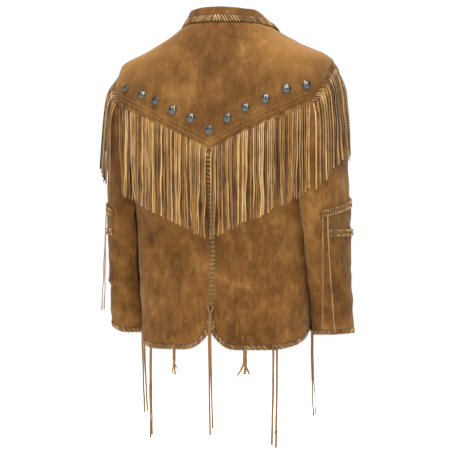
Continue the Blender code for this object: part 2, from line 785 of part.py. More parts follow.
def make_back_fringe(points, normals):
    """One fringe under the whole yoke edge, its strands hung straight down."""
    flip = np.array((-1, 1, 1))

    def whole(row):
        return np.concatenate(((row * flip)[:0:-1], row))

    edge = points[YOKE_ROW]
    top = whole(toward(edge, points[YOKE_ROW - 1], SEAM_GAP))
    bottom = whole(toward(edge, points[YOKE_ROW - 1], HEADER_BELOW))
    lifts = whole((normals[YOKE_ROW] + normals[YOKE_ROW - 1]) / 2)
    count = 2 * PANEL_COLUMNS * BACK_STRANDS_A_COLUMN
    places = strand_places(count, 0.0, 2.0 * PANEL_COLUMNS, 0.80)
    tops = [stepped(top, at) for at in places]
    bottoms = [stepped(bottom, at) for at in places]
    corner_lifts = [stepped(lifts, at) for at in places]
    strands = []
    for i in range(count):
        root = (bottoms[2 * i] + bottoms[2 * i + 1]) / 2
        lift = unit(corner_lifts[2 * i])
        root = root + lift * (STRIP_BASE + STRIP / 2)
        width = min(BACK_STRAND_WIDTH, abs(bottoms[2 * i + 1][0] - bottoms[2 * i][0]) * 0.98)
        outer = ease((abs(root[0]) - 0.15) / 0.07)
        tip_y = max(root[1] + 0.0015, root[1] * (1 - outer) + OUTER_TIP_Y * outer)
        path = []
        for share in (0.10, 0.40, 0.70, 1.0):
            y = root[1] + 0.0012 + (tip_y - root[1]) * share
            x = root[0] + sway(i + 1, 0.0004) * share
            path.append(np.array((x, y, root[2] - BACK_STRAND_LENGTH * share)))
        across = [np.array((1.0, 0, 0))] * len(path)
        out = [np.array((0, 1.0, 0))] * len(path)
        strands.append(strand_rings(path, across, out, width, STRIP))
    fringe("fringe_back", tops, bottoms, corner_lifts, STRIP_BASE, STRIP, strands, "fringe")


ARM_FRINGE_SPAN = (-2, 3)
ARM_HEADER = (0.12, 0.94)


def make_arm_fringe(side_name, grid, normals):
    """Fringe over the armhole seam, from the front of the shoulder to the back yoke's end."""
    start, end = ARM_FRINGE_SPAN
    order = [k % grid.shape[1] for k in range(start, end + 1)]
    sheet = grid[:, order]
    lift = normals[:, order]
    top = sheet[0] * (1 - ARM_HEADER[0]) + sheet[1] * ARM_HEADER[0]
    bottom = sheet[0] * (1 - ARM_HEADER[1]) + sheet[1] * ARM_HEADER[1]
    count = (end - start) * ARM_STRANDS_A_COLUMN
    places = strand_places(count, 0.0, float(end - start), 0.76)
    tops = [stepped(top, at) for at in places]
    bottoms = [stepped(bottom, at) for at in places]
    lifts = [unit(stepped(lift[0] + lift[1], at)) for at in places]
    strands = []
    for i in range(count):
        at = (places[2 * i] + places[2 * i + 1]) / 2
        line = np.array([stepped(sheet[r], at) for r in range(1, ARM_FRINGE_ROWS + 1)])
        outs = np.array([stepped(lift[r], at) for r in range(1, ARM_FRINGE_ROWS + 1)])
        root_side = bottoms[2 * i + 1] - bottoms[2 * i]
        along = np.concatenate(([0.0], np.cumsum(np.linalg.norm(np.diff(line, axis=0), axis=1))))
        path = []
        out = []
        across = []
        for place in [a for a in along[1:] if a < ARM_STRAND_LENGTH - 0.03] + [ARM_STRAND_LENGTH]:
            point = np.array([np.interp(place, along, line[:, a]) for a in range(3)])
            ahead = np.array([np.interp(place + 0.004, along, line[:, a]) for a in range(3)])
            away = unit(np.array([np.interp(place, along, outs[:, a]) for a in range(3)]))
            side_way = unit(np.cross(away, ahead - point))
            across.append(side_way if np.dot(side_way, root_side) > 0 else -side_way)
            lift_off = ARM_STRAND_LIFT * ease(place / 0.06)
            lift_off += ARM_TIP_LIFT[side_name] * (place / ARM_STRAND_LENGTH) ** 1.5
            path.append(point + away * (STRIP_BASE + STRIP / 2 + lift_off))
            out.append(away)
        width = min(ARM_STRAND_WIDTH, np.linalg.norm(root_side) * 0.95)
        strands.append(strand_rings(path, across, out, width, STRIP))
    fringe("fringe_arm_" + side_name, tops, bottoms, lifts, STRIP_BASE, STRIP, strands, "fringe")


# Thong ties: width, thickness and the gap between the thongs of a pair
THONG_WIDTH = 0.0030
THONG = 0.0015
THONG_GAP = 0.0012
TIE_BASE = 0.0005
TIE_STOPS = (0.05, 0.22, 0.45, 0.68, 0.86, 1.0)

# Thongs at the back hem: x, then the height of each thong's end and its drift to the right side
HEM_TIES = {
    "left": (0.150, (-0.945, -0.938), (0.001, 0.003)),
    "right": (-0.143, (-0.955, -0.962), (-0.004, -0.003)),
}
HEM_TASSELS = {
    "left": (0.084, (-0.797, -0.799, -0.790), (-0.004, 0.001, 0.015)),
    "right": (-0.082, (-0.799, -0.796, -0.795), (-0.017, -0.003, 0.012)),
}
TASSEL_HEAD = 0.022
TASSEL_THONG_WIDTH = 0.0026
VENT_TIE_TOP_Z = -0.648
VENT_TIE_HEAD = 0.013
VENT_TIE_ENDS = ((-0.935, -0.919), (0.003, 0.006))
CUFF_TIE_PLACE = 5.55
CUFF_TIE_ENDS = ((-0.894, -0.891), (0.005, 0.008))
ELBOW_TIE_PLACES = {"left": 0.75, "right": 2.0}
ELBOW_TIE_GAPS = {"left": 0.0012, "right": 0.0095}
ELBOW_TIE_DROP = (0.196, 0.205)
ELBOW_TIE_DRIFTS = {"left": (-0.016, -0.009), "right": (-0.001, 0.012)}


def back_surface_y(x, z):
    ring = ring_at(z)
    share = min(abs(x) / ring["half_width"], 1.0)
    depth = ring["back_y"] - ring["side_y"]
    return ring["side_y"] + depth * (1 - share ** ring["power"]) ** (1 / ring["power"])


def make_tie(name, top, bottom, out, ends, drifts, follow=False, width=THONG_WIDTH, gap=THONG_GAP):
    """Thongs that hang from a short head sewn flat on the cloth."""
    across = unit(np.cross(np.array((0, 0, 1.0)), out))
    count = len(ends)
    pitch = width + gap
    offsets = []
    for i in range(count):
        middle = (i - (count - 1) / 2) * pitch
        offsets += [middle - width / 2, middle + width / 2]
    tops = [top + across * at for at in offsets]
    bottoms = [bottom + across * at for at in offsets]
    strands = []
    for i, (end, drift) in enumerate(zip(ends, drifts)):
        root = (bottoms[2 * i] + bottoms[2 * i + 1]) / 2 + out * (TIE_BASE + THONG / 2)
        path = []
        for share in TIE_STOPS:
            point = root + np.array((-drift * share ** 1.5, 0.0, (end - root[2]) * share))
            point = point + out * 0.0012 * ease(share / 0.3)
            if follow and point[2] > back_hem_z(0) - 0.03:
                point[1] = max(point[1], back_surface_y(point[0], point[2]) + 0.0030)
            elif follow:
                point[1] = path[-1][1]
            path.append(point)
        steady = [across] * len(path)
        strands.append(strand_rings(path, steady, [out] * len(path), width * 0.98, THONG))
    fringe(name, tops, bottoms, [out] * len(offsets), TIE_BASE, THONG, strands, "thong")


def row_place(row, x):
    """Fractional column of a row of points at a given x."""
    xs = [abs(point[0]) for point in row]
    return float(np.interp(abs(x), xs, range(len(xs))))


def make_hem_ties(panels):
    for side_name, (x, ends, drifts) in HEM_TIES.items():
        points, normals = panels[side_name]
        at = row_place(points[0], x)
        edge = stepped(points[0], at)
        above = stepped(points[1], at)
        out = unit(stepped(normals[0], at) * np.array((1, 1, 0)))
        top = toward(edge, above, 0.015)
        make_tie("hem_tie_" + side_name, top, toward(edge, above, 0.002), out, ends, drifts)
    for side_name, (x, ends, drifts) in HEM_TASSELS.items():
        points, normals = panels[side_name]
        at = row_place(points[0], x)
        edge = stepped(points[0], at)
        top = toward(edge, stepped(points[1], at), 0.004)
        out = unit(stepped(normals[0], at) * np.array((1, 1, 0)))
        bottom = top - np.array((0, 0, TASSEL_HEAD + 0.004)) + out * 0.001
        name = "hem_tassel_" + side_name
        make_tie(name, top, bottom, out, ends, drifts, width=TASSEL_THONG_WIDTH)


def make_vent_tie():
    top = body_point(0.0, VENT_TIE_TOP_Z)
    bottom = body_point(0.0, VENT_TIE_TOP_Z - VENT_TIE_HEAD)
    ends, drifts = VENT_TIE_ENDS
    make_tie("vent_tie", top, bottom, np.array((0, 1.0, 0)), ends, drifts, follow=True)


def make_sleeve_ties(side_name, grid, normals):
    edge = stepped(grid[-1], CUFF_TIE_PLACE)
    above = stepped(grid[-2], CUFF_TIE_PLACE)
    out = unit(stepped(normals[-1], CUFF_TIE_PLACE) * np.array((1, 1, 0)))
    ends, drifts = CUFF_TIE_ENDS
    top = toward(edge, above, 0.015)
    make_tie("cuff_tie_" + side_name, top, toward(edge, above, 0.002), out, ends, drifts)
    row = len(CAP_STOPS)
    place = ELBOW_TIE_PLACES[side_name]
    out = unit(stepped(normals[row], place) * np.array((1, 1, 0)))
    point = stepped(grid[row], place)
    below = stepped(grid[row + 1], place)
    lift = out * (PATCH_BASE + PATCH_CLOTH)
    bottom = toward(point, below, 0.006)
    ends = [bottom[2] - drop for drop in ELBOW_TIE_DROP]
    drifts = ELBOW_TIE_DRIFTS[side_name]
    top = toward(point, below, -0.004) + lift
    gap = ELBOW_TIE_GAPS[side_name]
    make_tie("elbow_tie_" + side_name, top, bottom + lift, out, ends, drifts, gap=gap)


# Conchos and buttons


def facet_at(grid, x, z):
    """Point and outward normal of a grid's facets at (x, z), or None past its edge."""
    rows, columns = grid.shape[:2]
    for r in range(rows - 1):
        for k in range(columns - 1):
            quad = (grid[r, k], grid[r, k + 1], grid[r + 1, k + 1], grid[r + 1, k])
            for a, b, c in ((quad[0], quad[1], quad[2]), (quad[0], quad[2], quad[3])):
                base = np.array(((b[0] - a[0], c[0] - a[0]), (b[2] - a[2], c[2] - a[2])))
                if abs(np.linalg.det(base)) < 1e-12:
                    continue
                s, t = np.linalg.solve(base, np.array((x - a[0], z - a[2])))
                if s >= -1e-6 and t >= -1e-6 and s + t <= 1 + 1e-6:
                    normal = unit(np.cross(b - a, c - a))
                    point = a + (b - a) * s + (c - a) * t
                    return point, normal if normal[1] * point[1] > 0 else -normal
    return None


def seat_on(grid, x, z, radius):
    """Seat of a disc: its mean outward way, and a centre raised until the whole disc is clear."""
    centre = facet_at(grid, x, z)[0]
    around = []
    for s in range(48):
        angle = 2 * math.pi * s / 24
        reach = radius * (1.0 if s < 24 else 0.5)
        around.append(facet_at(grid, x + reach * math.cos(angle), z + reach * math.sin(angle)))
    around = [found for found in around if found]
    out = unit(sum(normal for point, normal in around))
    lift = max(max(float(np.dot(point - centre, out)) for point, normal in around), 0.0)
    return centre + out * lift, out


def turned_disc(name, seat, out, profile, sides, finish):
    """Solid of revolution on a seat: profile rows are (radius, rise); radius 0 closes the top."""
    across = unit(np.cross(np.array((0, 0, 1.0)), out))
    up = np.cross(out, across)
    verts = [seat + out * profile[0][1]]
    faces = []
    for radius, rise in profile[:-1]:
        for s in range(sides):
            angle = 2 * math.pi * s / sides
            verts.append(seat + out * rise + (across * math.cos(angle) + up * math.sin(angle)) * radius)
    verts.append(seat + out * profile[-1][1])
    rings = len(profile) - 1
    for s in range(sides):
        n = (s + 1) % sides
        faces.append((0, 1 + n, 1 + s))
        for ring in range(rings - 1):
            a = 1 + ring * sides
            faces.append((a + s, a + n, a + sides + n, a + sides + s))
        last = 1 + (rings - 1) * sides
        faces.append((last + s, last + n, len(verts) - 1))
    add_object(name, verts, faces, finish)


def make_conchos(yoke):
    base = 0.0009
    profile = (
        (CONCHO_RADIUS * 0.96, base),
        (CONCHO_RADIUS, base + 0.0007),
        (CONCHO_RADIUS * 0.86, base + 0.0013),
        (CONCHO_RADIUS * 0.55, base + CONCHO_RISE * 0.78),
        (0.0, base + CONCHO_RISE),
    )
    for i, (x, z) in enumerate(CONCHOS):
        seat, out = seat_on(yoke, x, z, CONCHO_RADIUS)
        turned_disc("concho_%02d" % (i + 1), seat, out, profile, 14, "gunmetal")


def make_buttons(front):
    base = 0.0005
    profile = ((BUTTON_RADIUS, base), (BUTTON_RADIUS, base + BUTTON_RISE * 0.7), (0.0, base + BUTTON_RISE))
    for i, z in enumerate(BUTTON_HEIGHTS):
        seat, out = seat_on(front, 0.003, z, BUTTON_RADIUS)
        turned_disc("button_%d" % (i + 1), seat, out, profile, 14, "button")


def main():
    clear_scene()
    patch = back_patch()
    panels = {}
    for side_name, side in SIDES.items():
        points, normals = on_body(patch, "back", side)
        points[:, 0, 0] = 0.0
        normals[:, 0, 0] = 0.0
        panels[side_name] = (points, normals)
        make_back(side_name, points, normals)
    yoke, yoke_normals = make_yoke(*panels["left"])
    front = make_front("left")[0]
    make_front("right")
    make_collar()
    make_back_fringe(*panels["left"])
    for side_name in SIDES:
        grid, normals = make_sleeve(side_name)
        make_elbow_patch(side_name, grid, normals)
        make_arm_fringe(side_name, grid, normals)
        make_sleeve_ties(side_name, grid, normals)
    make_hem_ties(panels)
    make_vent_tie()
    make_conchos(yoke)
    make_buttons(front)


main()
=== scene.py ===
"""Fringed suede jacket: cloth shells, lacing, fringes, ties, conchos, buttons, materials, soft
light and the camera. Metres, +Z up, the front faces -Y.
"""
import json
import math

import bmesh
import bpy
import numpy as np
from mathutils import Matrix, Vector
from mathutils.bvhtree import BVHTree

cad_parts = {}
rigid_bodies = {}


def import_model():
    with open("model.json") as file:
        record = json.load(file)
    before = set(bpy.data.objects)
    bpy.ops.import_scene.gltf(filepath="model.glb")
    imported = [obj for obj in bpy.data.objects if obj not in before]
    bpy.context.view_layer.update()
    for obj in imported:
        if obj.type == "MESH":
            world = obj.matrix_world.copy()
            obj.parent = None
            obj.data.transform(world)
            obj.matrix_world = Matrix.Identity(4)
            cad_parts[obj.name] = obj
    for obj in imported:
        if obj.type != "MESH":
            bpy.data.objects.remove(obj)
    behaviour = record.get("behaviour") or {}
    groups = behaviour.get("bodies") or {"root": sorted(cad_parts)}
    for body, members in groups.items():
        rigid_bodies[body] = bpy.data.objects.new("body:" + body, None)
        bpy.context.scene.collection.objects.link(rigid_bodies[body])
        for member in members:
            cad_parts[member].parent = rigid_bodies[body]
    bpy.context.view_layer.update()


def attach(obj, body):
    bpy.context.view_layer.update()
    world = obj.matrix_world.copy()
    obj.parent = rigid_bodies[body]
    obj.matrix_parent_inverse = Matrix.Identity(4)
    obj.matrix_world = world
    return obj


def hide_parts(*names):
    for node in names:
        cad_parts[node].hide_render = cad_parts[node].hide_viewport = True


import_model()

# Cloth, layers and pose
CLOTH = 0.0015
SEAM_GAP = 0.0003
YOKE_BASE = 0.0018
SIDES = {"left": 1, "right": -1}
LEFT_DROP = 0.014

# Body rings: height, half width, depth behind and before the axis, side seam's y, roundness
RING_COLUMNS = ("z", "half_width", "back_y", "front_y", "side_y", "power")
RINGS = (
    (0.030, 0.066, 0.062, -0.040, 0.000, 2.2),
    (-0.005, 0.086, 0.076, -0.055, 0.000, 2.3),
    (-0.023, 0.113, 0.087, -0.068, -0.003, 2.5),
    (-0.050, 0.161, 0.100, -0.082, -0.006, 2.7),
    (-0.093, 0.243, 0.115, -0.098, -0.010, 3.1),
    (-0.140, 0.250, 0.127, -0.112, -0.008, 3.7),
    (-0.183, 0.249, 0.133, -0.120, -0.004, 3.9),
    (-0.240, 0.238, 0.137, -0.127, 0.000, 3.4),
    (-0.290, 0.224, 0.137, -0.130, 0.000, 3.0),
    (-0.350, 0.214, 0.131, -0.131, 0.000, 2.7),
    (-0.420, 0.213, 0.119, -0.124, 0.000, 2.5),
    (-0.490, 0.209, 0.107, -0.118, 0.000, 2.4),
    (-0.560, 0.206, 0.109, -0.118, 0.000, 2.4),
    (-0.650, 0.199, 0.123, -0.126, 0.000, 2.4),
    (-0.760, 0.191, 0.136, -0.134, 0.000, 2.4),
)

# Seams and edges
BACK_NECK_Z = 0.005
SIDE_NECK_Z = -0.005
FRONT_NECK_Z = -0.085
FRONT_TIP_ROW_Z = -0.125
SHOULDER_TIP_Z = -0.093
UNDERARM_Z = -0.350
YOKE_END_Z = -0.183
YOKE_POINT_Z = -0.287
HEM_Z = -0.742
HEM_SIDE_RISE = 0.040
HEM_RISE_WAY = (0.45, 2.4)
FRONT_HEM_Z = -0.702
BACK_HALF_WIDTH = 0.285
VENT_TOP_Z = -0.675
VENT_CORNER = (0.070, 0.042)
VENT_GAP = 0.0012
FRONT_LAP = 0.013
FRONT_LAP_DEPTH = 0.0028

# Armhole: height, then how far round the ring its back and front edges lie
ARMHOLE_COLUMNS = ("z", "back", "front")
ARMHOLE = (
    (-0.350, 1.00, 1.00),
    (-0.345, 0.94, 0.92),
    (-0.330, 0.85, 0.82),
    (-0.300, 0.76, 0.72),
    (-0.260, 0.70, 0.66),
    (-0.220, 0.68, 0.65),
    (-0.183, 0.69, 0.67),
    (-0.156, 0.745, 0.72),
    (-0.131, 0.81, 0.79),
    (-0.106, 0.91, 0.89),
    (-0.093, 1.00, 1.00),
)

# Panel grid: columns and rows, and the finer steps within each
PANEL_COLUMNS = 9
SIDE_ROWS = 7
LOW_ARM_ROWS = 5
HIGH_ARM_ROWS = 3
SHOULDER_ROWS = 5
FINE = 8
YOKE_ROW = (SIDE_ROWS + LOW_ARM_ROWS) * FINE
YOKE_EDGE_STEEP = 1.05
NECK_CROWDING = 1.35
YOKE_SIDE_GAP = 0.0012
YOKE_NECK_GAP = 0.0040

# Sleeve rings below the cap: height, place, size, and how far the section's back leans inward
SLEEVE_COLUMNS = ("z", "x_right", "x_left", "y_right", "y_left", "half_width", "half_depth", "lean")
SLEEVE_RINGS = (
    (-0.400, 0.2375, 0.2435, 0.026, -0.012, 0.046, 0.083, 14),
    (-0.440, 0.2395, 0.2430, 0.024, -0.012, 0.046, 0.080, 13),
    (-0.484, 0.2410, 0.2420, 0.016, -0.014, 0.047, 0.075, 11),
    (-0.560, 0.2400, 0.2400, 0.000, -0.020, 0.048, 0.068, 8),
    (-0.640, 0.2370, 0.2370, -0.022, -0.030, 0.050, 0.059, 4),
    (-0.710, 0.2350, 0.2350, -0.042, -0.038, 0.052, 0.050, 0),
)
CAP_STOPS = (0.0, 0.07, 0.20, 0.36, 0.54, 0.72, 0.87, 1.0)
SLEEVE_STOPS = (-0.400, -0.440, -0.484, -0.530, -0.580, -0.630, -0.675, -0.710)
SLEEVE_SEAM = 0.0009
SLEEVE_TWIST = math.radians(4)
SLEEVE_PIECES = {"outer": (-5, 2), "under": (2, 11)}
CUFF_RISE = {"left": 0.018, "right": 0.004}
SLEEVE_CLEARANCE = 0.004
CAP_PULL = 0.70
CAP_OUT = {"left": 0.66, "right": 0.41}
CAP_BACK = 0.14
CAP_DOWN = 0.62
CAP_UNDER = 0.14
CAP_END_LEAN = {"left": 0.0, "right": 0.125}

# Collar: leaf edge as (part of the half collar, turn on the body, height)
COLLAR_EDGE_COLUMNS = ("z", "turn", "height")
COLLAR_EDGE = (
    (0.00, 0.00, -0.002),
    (0.25, 0.50, -0.006),
    (0.50, 1.00, -0.018),
    (0.59, 1.24, -0.025),
    (0.67, 1.42, -0.042),
    (0.80, 1.60, -0.079),
    (0.90, 1.69, -0.114),
    (1.00, 1.75, -0.150),
)
COLLAR_END_TURN = 1.955
COLLAR_HALF_COLUMNS = 90
COLLAR_ROWS = 43
COLLAR_SEAM = 0.0022
COLLAR_CLEARANCE = 0.0060
FOLD_HALF = 0.0026

# Collar fold: how far it leans in from the neck seam, as a share, and how high it stands on it
COLLAR_FOLD_COLUMNS = ("z", "inset", "rise")
COLLAR_FOLDS = (
    (0.00, 0.080, 0.0205),
    (0.35, 0.030, 0.0220),
    (0.51, 0.065, 0.0160),
    (0.70, 0.095, 0.0145),
    (1.00, 0.090, 0.0170),
)


# Form of the body


def smooth_values(table, names, column, z):
    """Read a table's column at heights z from a smooth curve through its rows."""
    rows = np.array(sorted(table))
    heights = rows[:, names.index("z")]
    values = rows[:, names.index(column)]
    z = np.clip(z, heights[0], heights[-1])
    i = np.clip(np.searchsorted(heights, z) - 1, 0, len(rows) - 2)
    secants = np.diff(values) / np.diff(heights)
    slopes = np.empty(len(rows))
    slopes[0] = secants[0]
    slopes[-1] = secants[-1]
    before = secants[:-1]
    after = secants[1:]
    same = before * after > 0
    slopes[1:-1] = np.where(same, 2 * before * after / np.where(same, before + after, 1.0), 0.0)
    gap = heights[i + 1] - heights[i]
    f = (z - heights[i]) / gap
    return (values[i] * (1 + 2 * f) * (1 - f) ** 2 + slopes[i] * gap * f * (1 - f) ** 2
            + values[i + 1] * f * f * (3 - 2 * f) - slopes[i + 1] * gap * f * f * (1 - f))


def ring_at(z):
    return {name: smooth_values(RINGS, RING_COLUMNS, name, z) for name in RING_COLUMNS[1:]}


HEIGHT_STEP = 0.002
TABLE_PARTS = 97


def quarter_table():
    """Quarter profiles of the body by height and by part of their length, back and front."""
    heights = np.arange(-0.770, 0.036, HEIGHT_STEP)
    angles = np.linspace(0.0, math.pi / 2, 181)
    parts = np.linspace(0.0, 1.0, TABLE_PARTS)
    tables = {"back": [], "front": []}
    for z in heights:
        ring = ring_at(z)
        for face in tables:
            depth = ring[face + "_y"] - ring["side_y"]
            xs = ring["half_width"] * np.sin(angles) ** (2 / ring["power"])
            ys = depth * np.abs(np.cos(angles)) ** (2 / ring["power"])
            along = np.concatenate(([0.0], np.cumsum(np.hypot(np.diff(xs), np.diff(ys)))))
            at = parts * along[-1]
            tables[face].append(np.stack((np.interp(at, along, xs),
                                          np.interp(at, along, ys) + ring["side_y"]), 1))
    return heights[0], {face: np.array(rows) for face, rows in tables.items()}


LOWEST, QUARTERS = quarter_table()


def body_points(turn, z):
    """Body form: turn 0 is the centre back, 1 the left side, 2 the centre front; right is minus."""
    turn, z = np.broadcast_arrays(np.asarray(turn, float), np.asarray(z, float))
    side = np.where(turn >= 0, 1.0, -1.0)
    turn = np.abs(turn)
    side = np.where(turn > 2, -side, side)
    turn = np.where(turn > 2, 4 - turn, turn)
    part = np.where(turn <= 1, turn, 2 - turn) * (TABLE_PARTS - 1)
    row = (z - LOWEST) / HEIGHT_STEP
    r = np.clip(row.astype(int), 0, QUARTERS["back"].shape[0] - 2)
    c = np.clip(part.astype(int), 0, TABLE_PARTS - 2)
    fr = np.clip(row - r, 0.0, 1.0)[..., None]
    fc = (part - c)[..., None]

    def read(table):
        low = table[r, c] * (1 - fc) + table[r, c + 1] * fc
        high = table[r + 1, c] * (1 - fc) + table[r + 1, c + 1] * fc
        return low * (1 - fr) + high * fr

    xy = np.where((turn <= 1)[..., None], read(QUARTERS["back"]), read(QUARTERS["front"]))
    return np.stack((side * xy[..., 0], xy[..., 1], z), -1)


def unit(vectors):
    vectors = np.asarray(vectors, float)
    return vectors / np.maximum(np.linalg.norm(vectors, axis=-1, keepdims=True), 1e-12)


def body_normals(turn, z):
    across = body_points(np.asarray(turn) + 0.02, z) - body_points(np.asarray(turn) - 0.02, z)
    up = body_points(turn, np.asarray(z) + 0.006) - body_points(turn, np.asarray(z) - 0.006)
    return unit(np.cross(up, across))


def ease(x):
    x = np.clip(x, 0.0, 1.0)
    return x * x * (3 - 2 * x)


def posed(points):
    """The wearer's left shoulder hangs a little lower than the right one."""
    points = np.array(points, float)
    share = ease((points[..., 0] - 0.03) / 0.18) * ease((points[..., 2] + 0.20) / 0.10)
    points[..., 2] -= LEFT_DROP * share
    return points


# Patches of the body form, as (turn, z) of a column part c and a row part f


def hem_z(part):
    """Shirt-tail hem: lowest in the panel's middle, raised at the side seam."""
    start, power = HEM_RISE_WAY
    return HEM_Z + HEM_SIDE_RISE * (np.maximum(np.asarray(part) - start, 0.0) / (1 - start)) ** power


def back_hem_z(part):
    """The back hem also rounds away at the vent."""
    reach = np.asarray(part) * BACK_HALF_WIDTH
    width, height = VENT_CORNER
    return hem_z(part) + height * np.maximum(0.0, 1 - reach / width) ** 2.4


def spaced(path, stops):
    """Points of a (turn, z) path at the given parts of its real length on the body."""
    path = np.asarray(path)
    real = body_points(path[:, 0], path[:, 1])
    along = np.concatenate(([0.0], np.cumsum(np.linalg.norm(np.diff(real, axis=0), axis=1))))
    at = np.asarray(stops) * along[-1]
    return np.stack((np.interp(at, along, path[:, 0]), np.interp(at, along, path[:, 1])), 1)


def coons(left, right, bottom, top, columns):
    """Rows of (turn, z) between two side runs, over a bottom and below a top edge."""
    c = np.linspace(0.0, 1.0, columns + 1)[None, :, None]
    f = np.linspace(0.0, 1.0, len(left))[:, None, None]
    flat = (1 - c) * left[:, None] + c * right[:, None]
    low = bottom[None] - (1 - c) * bottom[0] - c * bottom[-1]
    high = top[None] - (1 - c) * top[0] - c * top[-1]
    return flat + (1 - f) ** 3 * low + f ** 3 * high


def armhole_turn(z, face):
    return smooth_values(ARMHOLE, ARMHOLE_COLUMNS, face, z)


def yoke_edge(c):
    """Lower edge of the yoke: straight from its point up to a short level end at the armhole."""
    rise = (YOKE_END_Z - YOKE_POINT_Z) * np.minimum(c * YOKE_EDGE_STEEP, 1.0)
    return np.stack((armhole_turn(YOKE_END_Z, "back") * c, YOKE_POINT_Z + rise), 1)


def stops_of(rows):
    return np.linspace(0.0, 1.0, rows * FINE + 1)


def near_end(part):
    """Row spacing that closes up toward the neck, where the form flares most."""
    return 1 - (1 - part) ** NECK_CROWDING


def shoulder_run():
    """Shoulder seam from its tip to the neck point."""
    z = SHOULDER_TIP_Z + (SIDE_NECK_Z - SHOULDER_TIP_Z) * near_end(stops_of(SHOULDER_ROWS))
    return np.stack((np.ones_like(z), z), 1)


def side_run(bottom_z):
    z = bottom_z + (UNDERARM_Z - bottom_z) * stops_of(SIDE_ROWS)
    return np.stack((np.ones_like(z), z), 1)


def armhole_run(face, low_z, high_z, rows):
    """Armhole edge between two heights, in equal real steps."""
    z = np.linspace(low_z, high_z, 240)
    part = armhole_turn(z, face)
    path = np.stack((part if face == "back" else 2 - part, z), 1)
    steps = spaced(path, stops_of(rows))
    if face == "front":
        steps[:, 0] = 2 - steps[:, 0]
    return steps


def back_neck_z(c):
    return BACK_NECK_Z + (SIDE_NECK_Z - BACK_NECK_Z) * ease(c)


def front_neck_z(c):
    """Front neck edge from the centre front, c 0, to the neck point, c 1."""
    return SIDE_NECK_Z + (FRONT_NECK_Z - SIDE_NECK_Z) * np.maximum(1 - c, 0.0) ** 1.3


def middle_run(low_z, high_z, shares):
    z = low_z + (high_z - low_z) * shares
    return np.stack((np.zeros_like(z), z), 1)


def back_patch():
    """Half of the back as rows of (turn, z): hem to yoke edge, then yoke edge to neck."""
    columns = PANEL_COLUMNS * FINE
    c = np.linspace(0.0, 1.0, columns + 1)
    edge = yoke_edge(c)
    side = np.concatenate((side_run(float(back_hem_z(1.0))),
                           armhole_run("back", UNDERARM_Z, YOKE_END_Z, LOW_ARM_ROWS)[1:]))
    middle = middle_run(float(back_hem_z(0.0)), YOKE_POINT_Z, np.linspace(0.0, 1.0, len(side)))
    lower = coons(middle, side, np.stack((c, back_hem_z(c)), 1), edge, columns)
    side = np.concatenate((armhole_run("back", YOKE_END_Z, SHOULDER_TIP_Z, HIGH_ARM_ROWS),
                           shoulder_run()[1:]))
    middle = middle_run(YOKE_POINT_Z, BACK_NECK_Z, near_end(np.linspace(0.0, 1.0, len(side))))
    upper = coons(middle, side, edge, np.stack((c, back_neck_z(c)), 1), columns)
    return np.concatenate((lower, upper[1:]))


def front_patch():
    """Half of the front as rows of (part, z): part 0 on the centre front, 1 on the side."""
    arm_rows = LOW_ARM_ROWS + HIGH_ARM_ROWS
    columns = PANEL_COLUMNS * FINE
    c = np.linspace(0.0, 1.0, columns + 1)
    side = np.concatenate((side_run(FRONT_HEM_Z),
                           armhole_run("front", UNDERARM_Z, SHOULDER_TIP_Z, arm_rows)[1:],
                           shoulder_run()[1:]))
    middle = np.concatenate((
        middle_run(FRONT_HEM_Z, FRONT_TIP_ROW_Z, stops_of(SIDE_ROWS + arm_rows)),
        middle_run(FRONT_TIP_ROW_Z, FRONT_NECK_Z, stops_of(SHOULDER_ROWS))[1:]))
    bottom = np.stack((c, np.full_like(c, FRONT_HEM_Z)), 1)
    return coons(middle, side, bottom, np.stack((c, front_neck_z(c)), 1), columns)


def on_body(patch, face, side):
    """A patch's points and outward normals on one side of the back or the front."""
    turns = patch[..., 0] if face == "back" else 2 - patch[..., 0]
    turns = side * turns
    if side < 0:
        turns = np.where(np.abs(turns) < 1e-9, -1e-9, turns)
    return body_points(turns, patch[..., 1]), body_normals(turns, patch[..., 1])


# Form of the sleeves and collar


def armhole_loop():
    """Armhole as body turns and heights: tip, down the back, underarm, up the front."""
    high = armhole_run("back", YOKE_END_Z, SHOULDER_TIP_Z, HIGH_ARM_ROWS)[::-1]
    low = armhole_run("back", UNDERARM_Z, YOKE_END_Z, LOW_ARM_ROWS)[::-1]
    front = armhole_run("front", UNDERARM_Z, SHOULDER_TIP_Z, LOW_ARM_ROWS + HIGH_ARM_ROWS)[1:-1]
    front[:, 0] = 2 - front[:, 0]
    return np.concatenate((high, low[1:], front))


def sleeve_ring(side_name, angles, z):
    """Points of a sleeve's section: angle 0 faces out, a quarter turn faces back."""
    ring = {n: smooth_values(SLEEVE_RINGS, SLEEVE_COLUMNS, n, z) for n in SLEEVE_COLUMNS[1:]}
    lean = math.radians(float(ring["lean"]))
    out = ring["half_width"] * np.cos(angles)
    back = ring["half_depth"] * np.sin(angles)
    x = ring["x_" + side_name] + out * math.cos(lean) - back * math.sin(lean)
    y = ring["y_" + side_name] + out * math.sin(lean) + back * math.cos(lean)
    return np.stack((SIDES[side_name] * x, y, np.full_like(x, z)), -1)


def ring_beside(points):
    """The body's ring at the points' heights, their y from its side seam, and its depth there."""
    ring = ring_at(points[:, 2])
    y = points[:, 1] - ring["side_y"]
    return ring, y, np.where(y > 0, ring["back_y"] - ring["side_y"], ring["side_y"] - ring["front_y"])


def clear_of_body(points, side, clearance):
    """Keep a sleeve's inner side just outside the body where the two press together."""
    ring, y, depth = ring_beside(points)
    share = np.minimum(np.abs(y) / depth, 1.0)
    reach = ring["half_width"] * (1 - share ** ring["power"]) ** (1 / ring["power"]) + clearance
    near = (share < 1.0) & (side * points[:, 0] < reach)
    moved = points.copy()
    moved[:, 0] = np.where(near, side * reach, points[:, 0])
    return moved


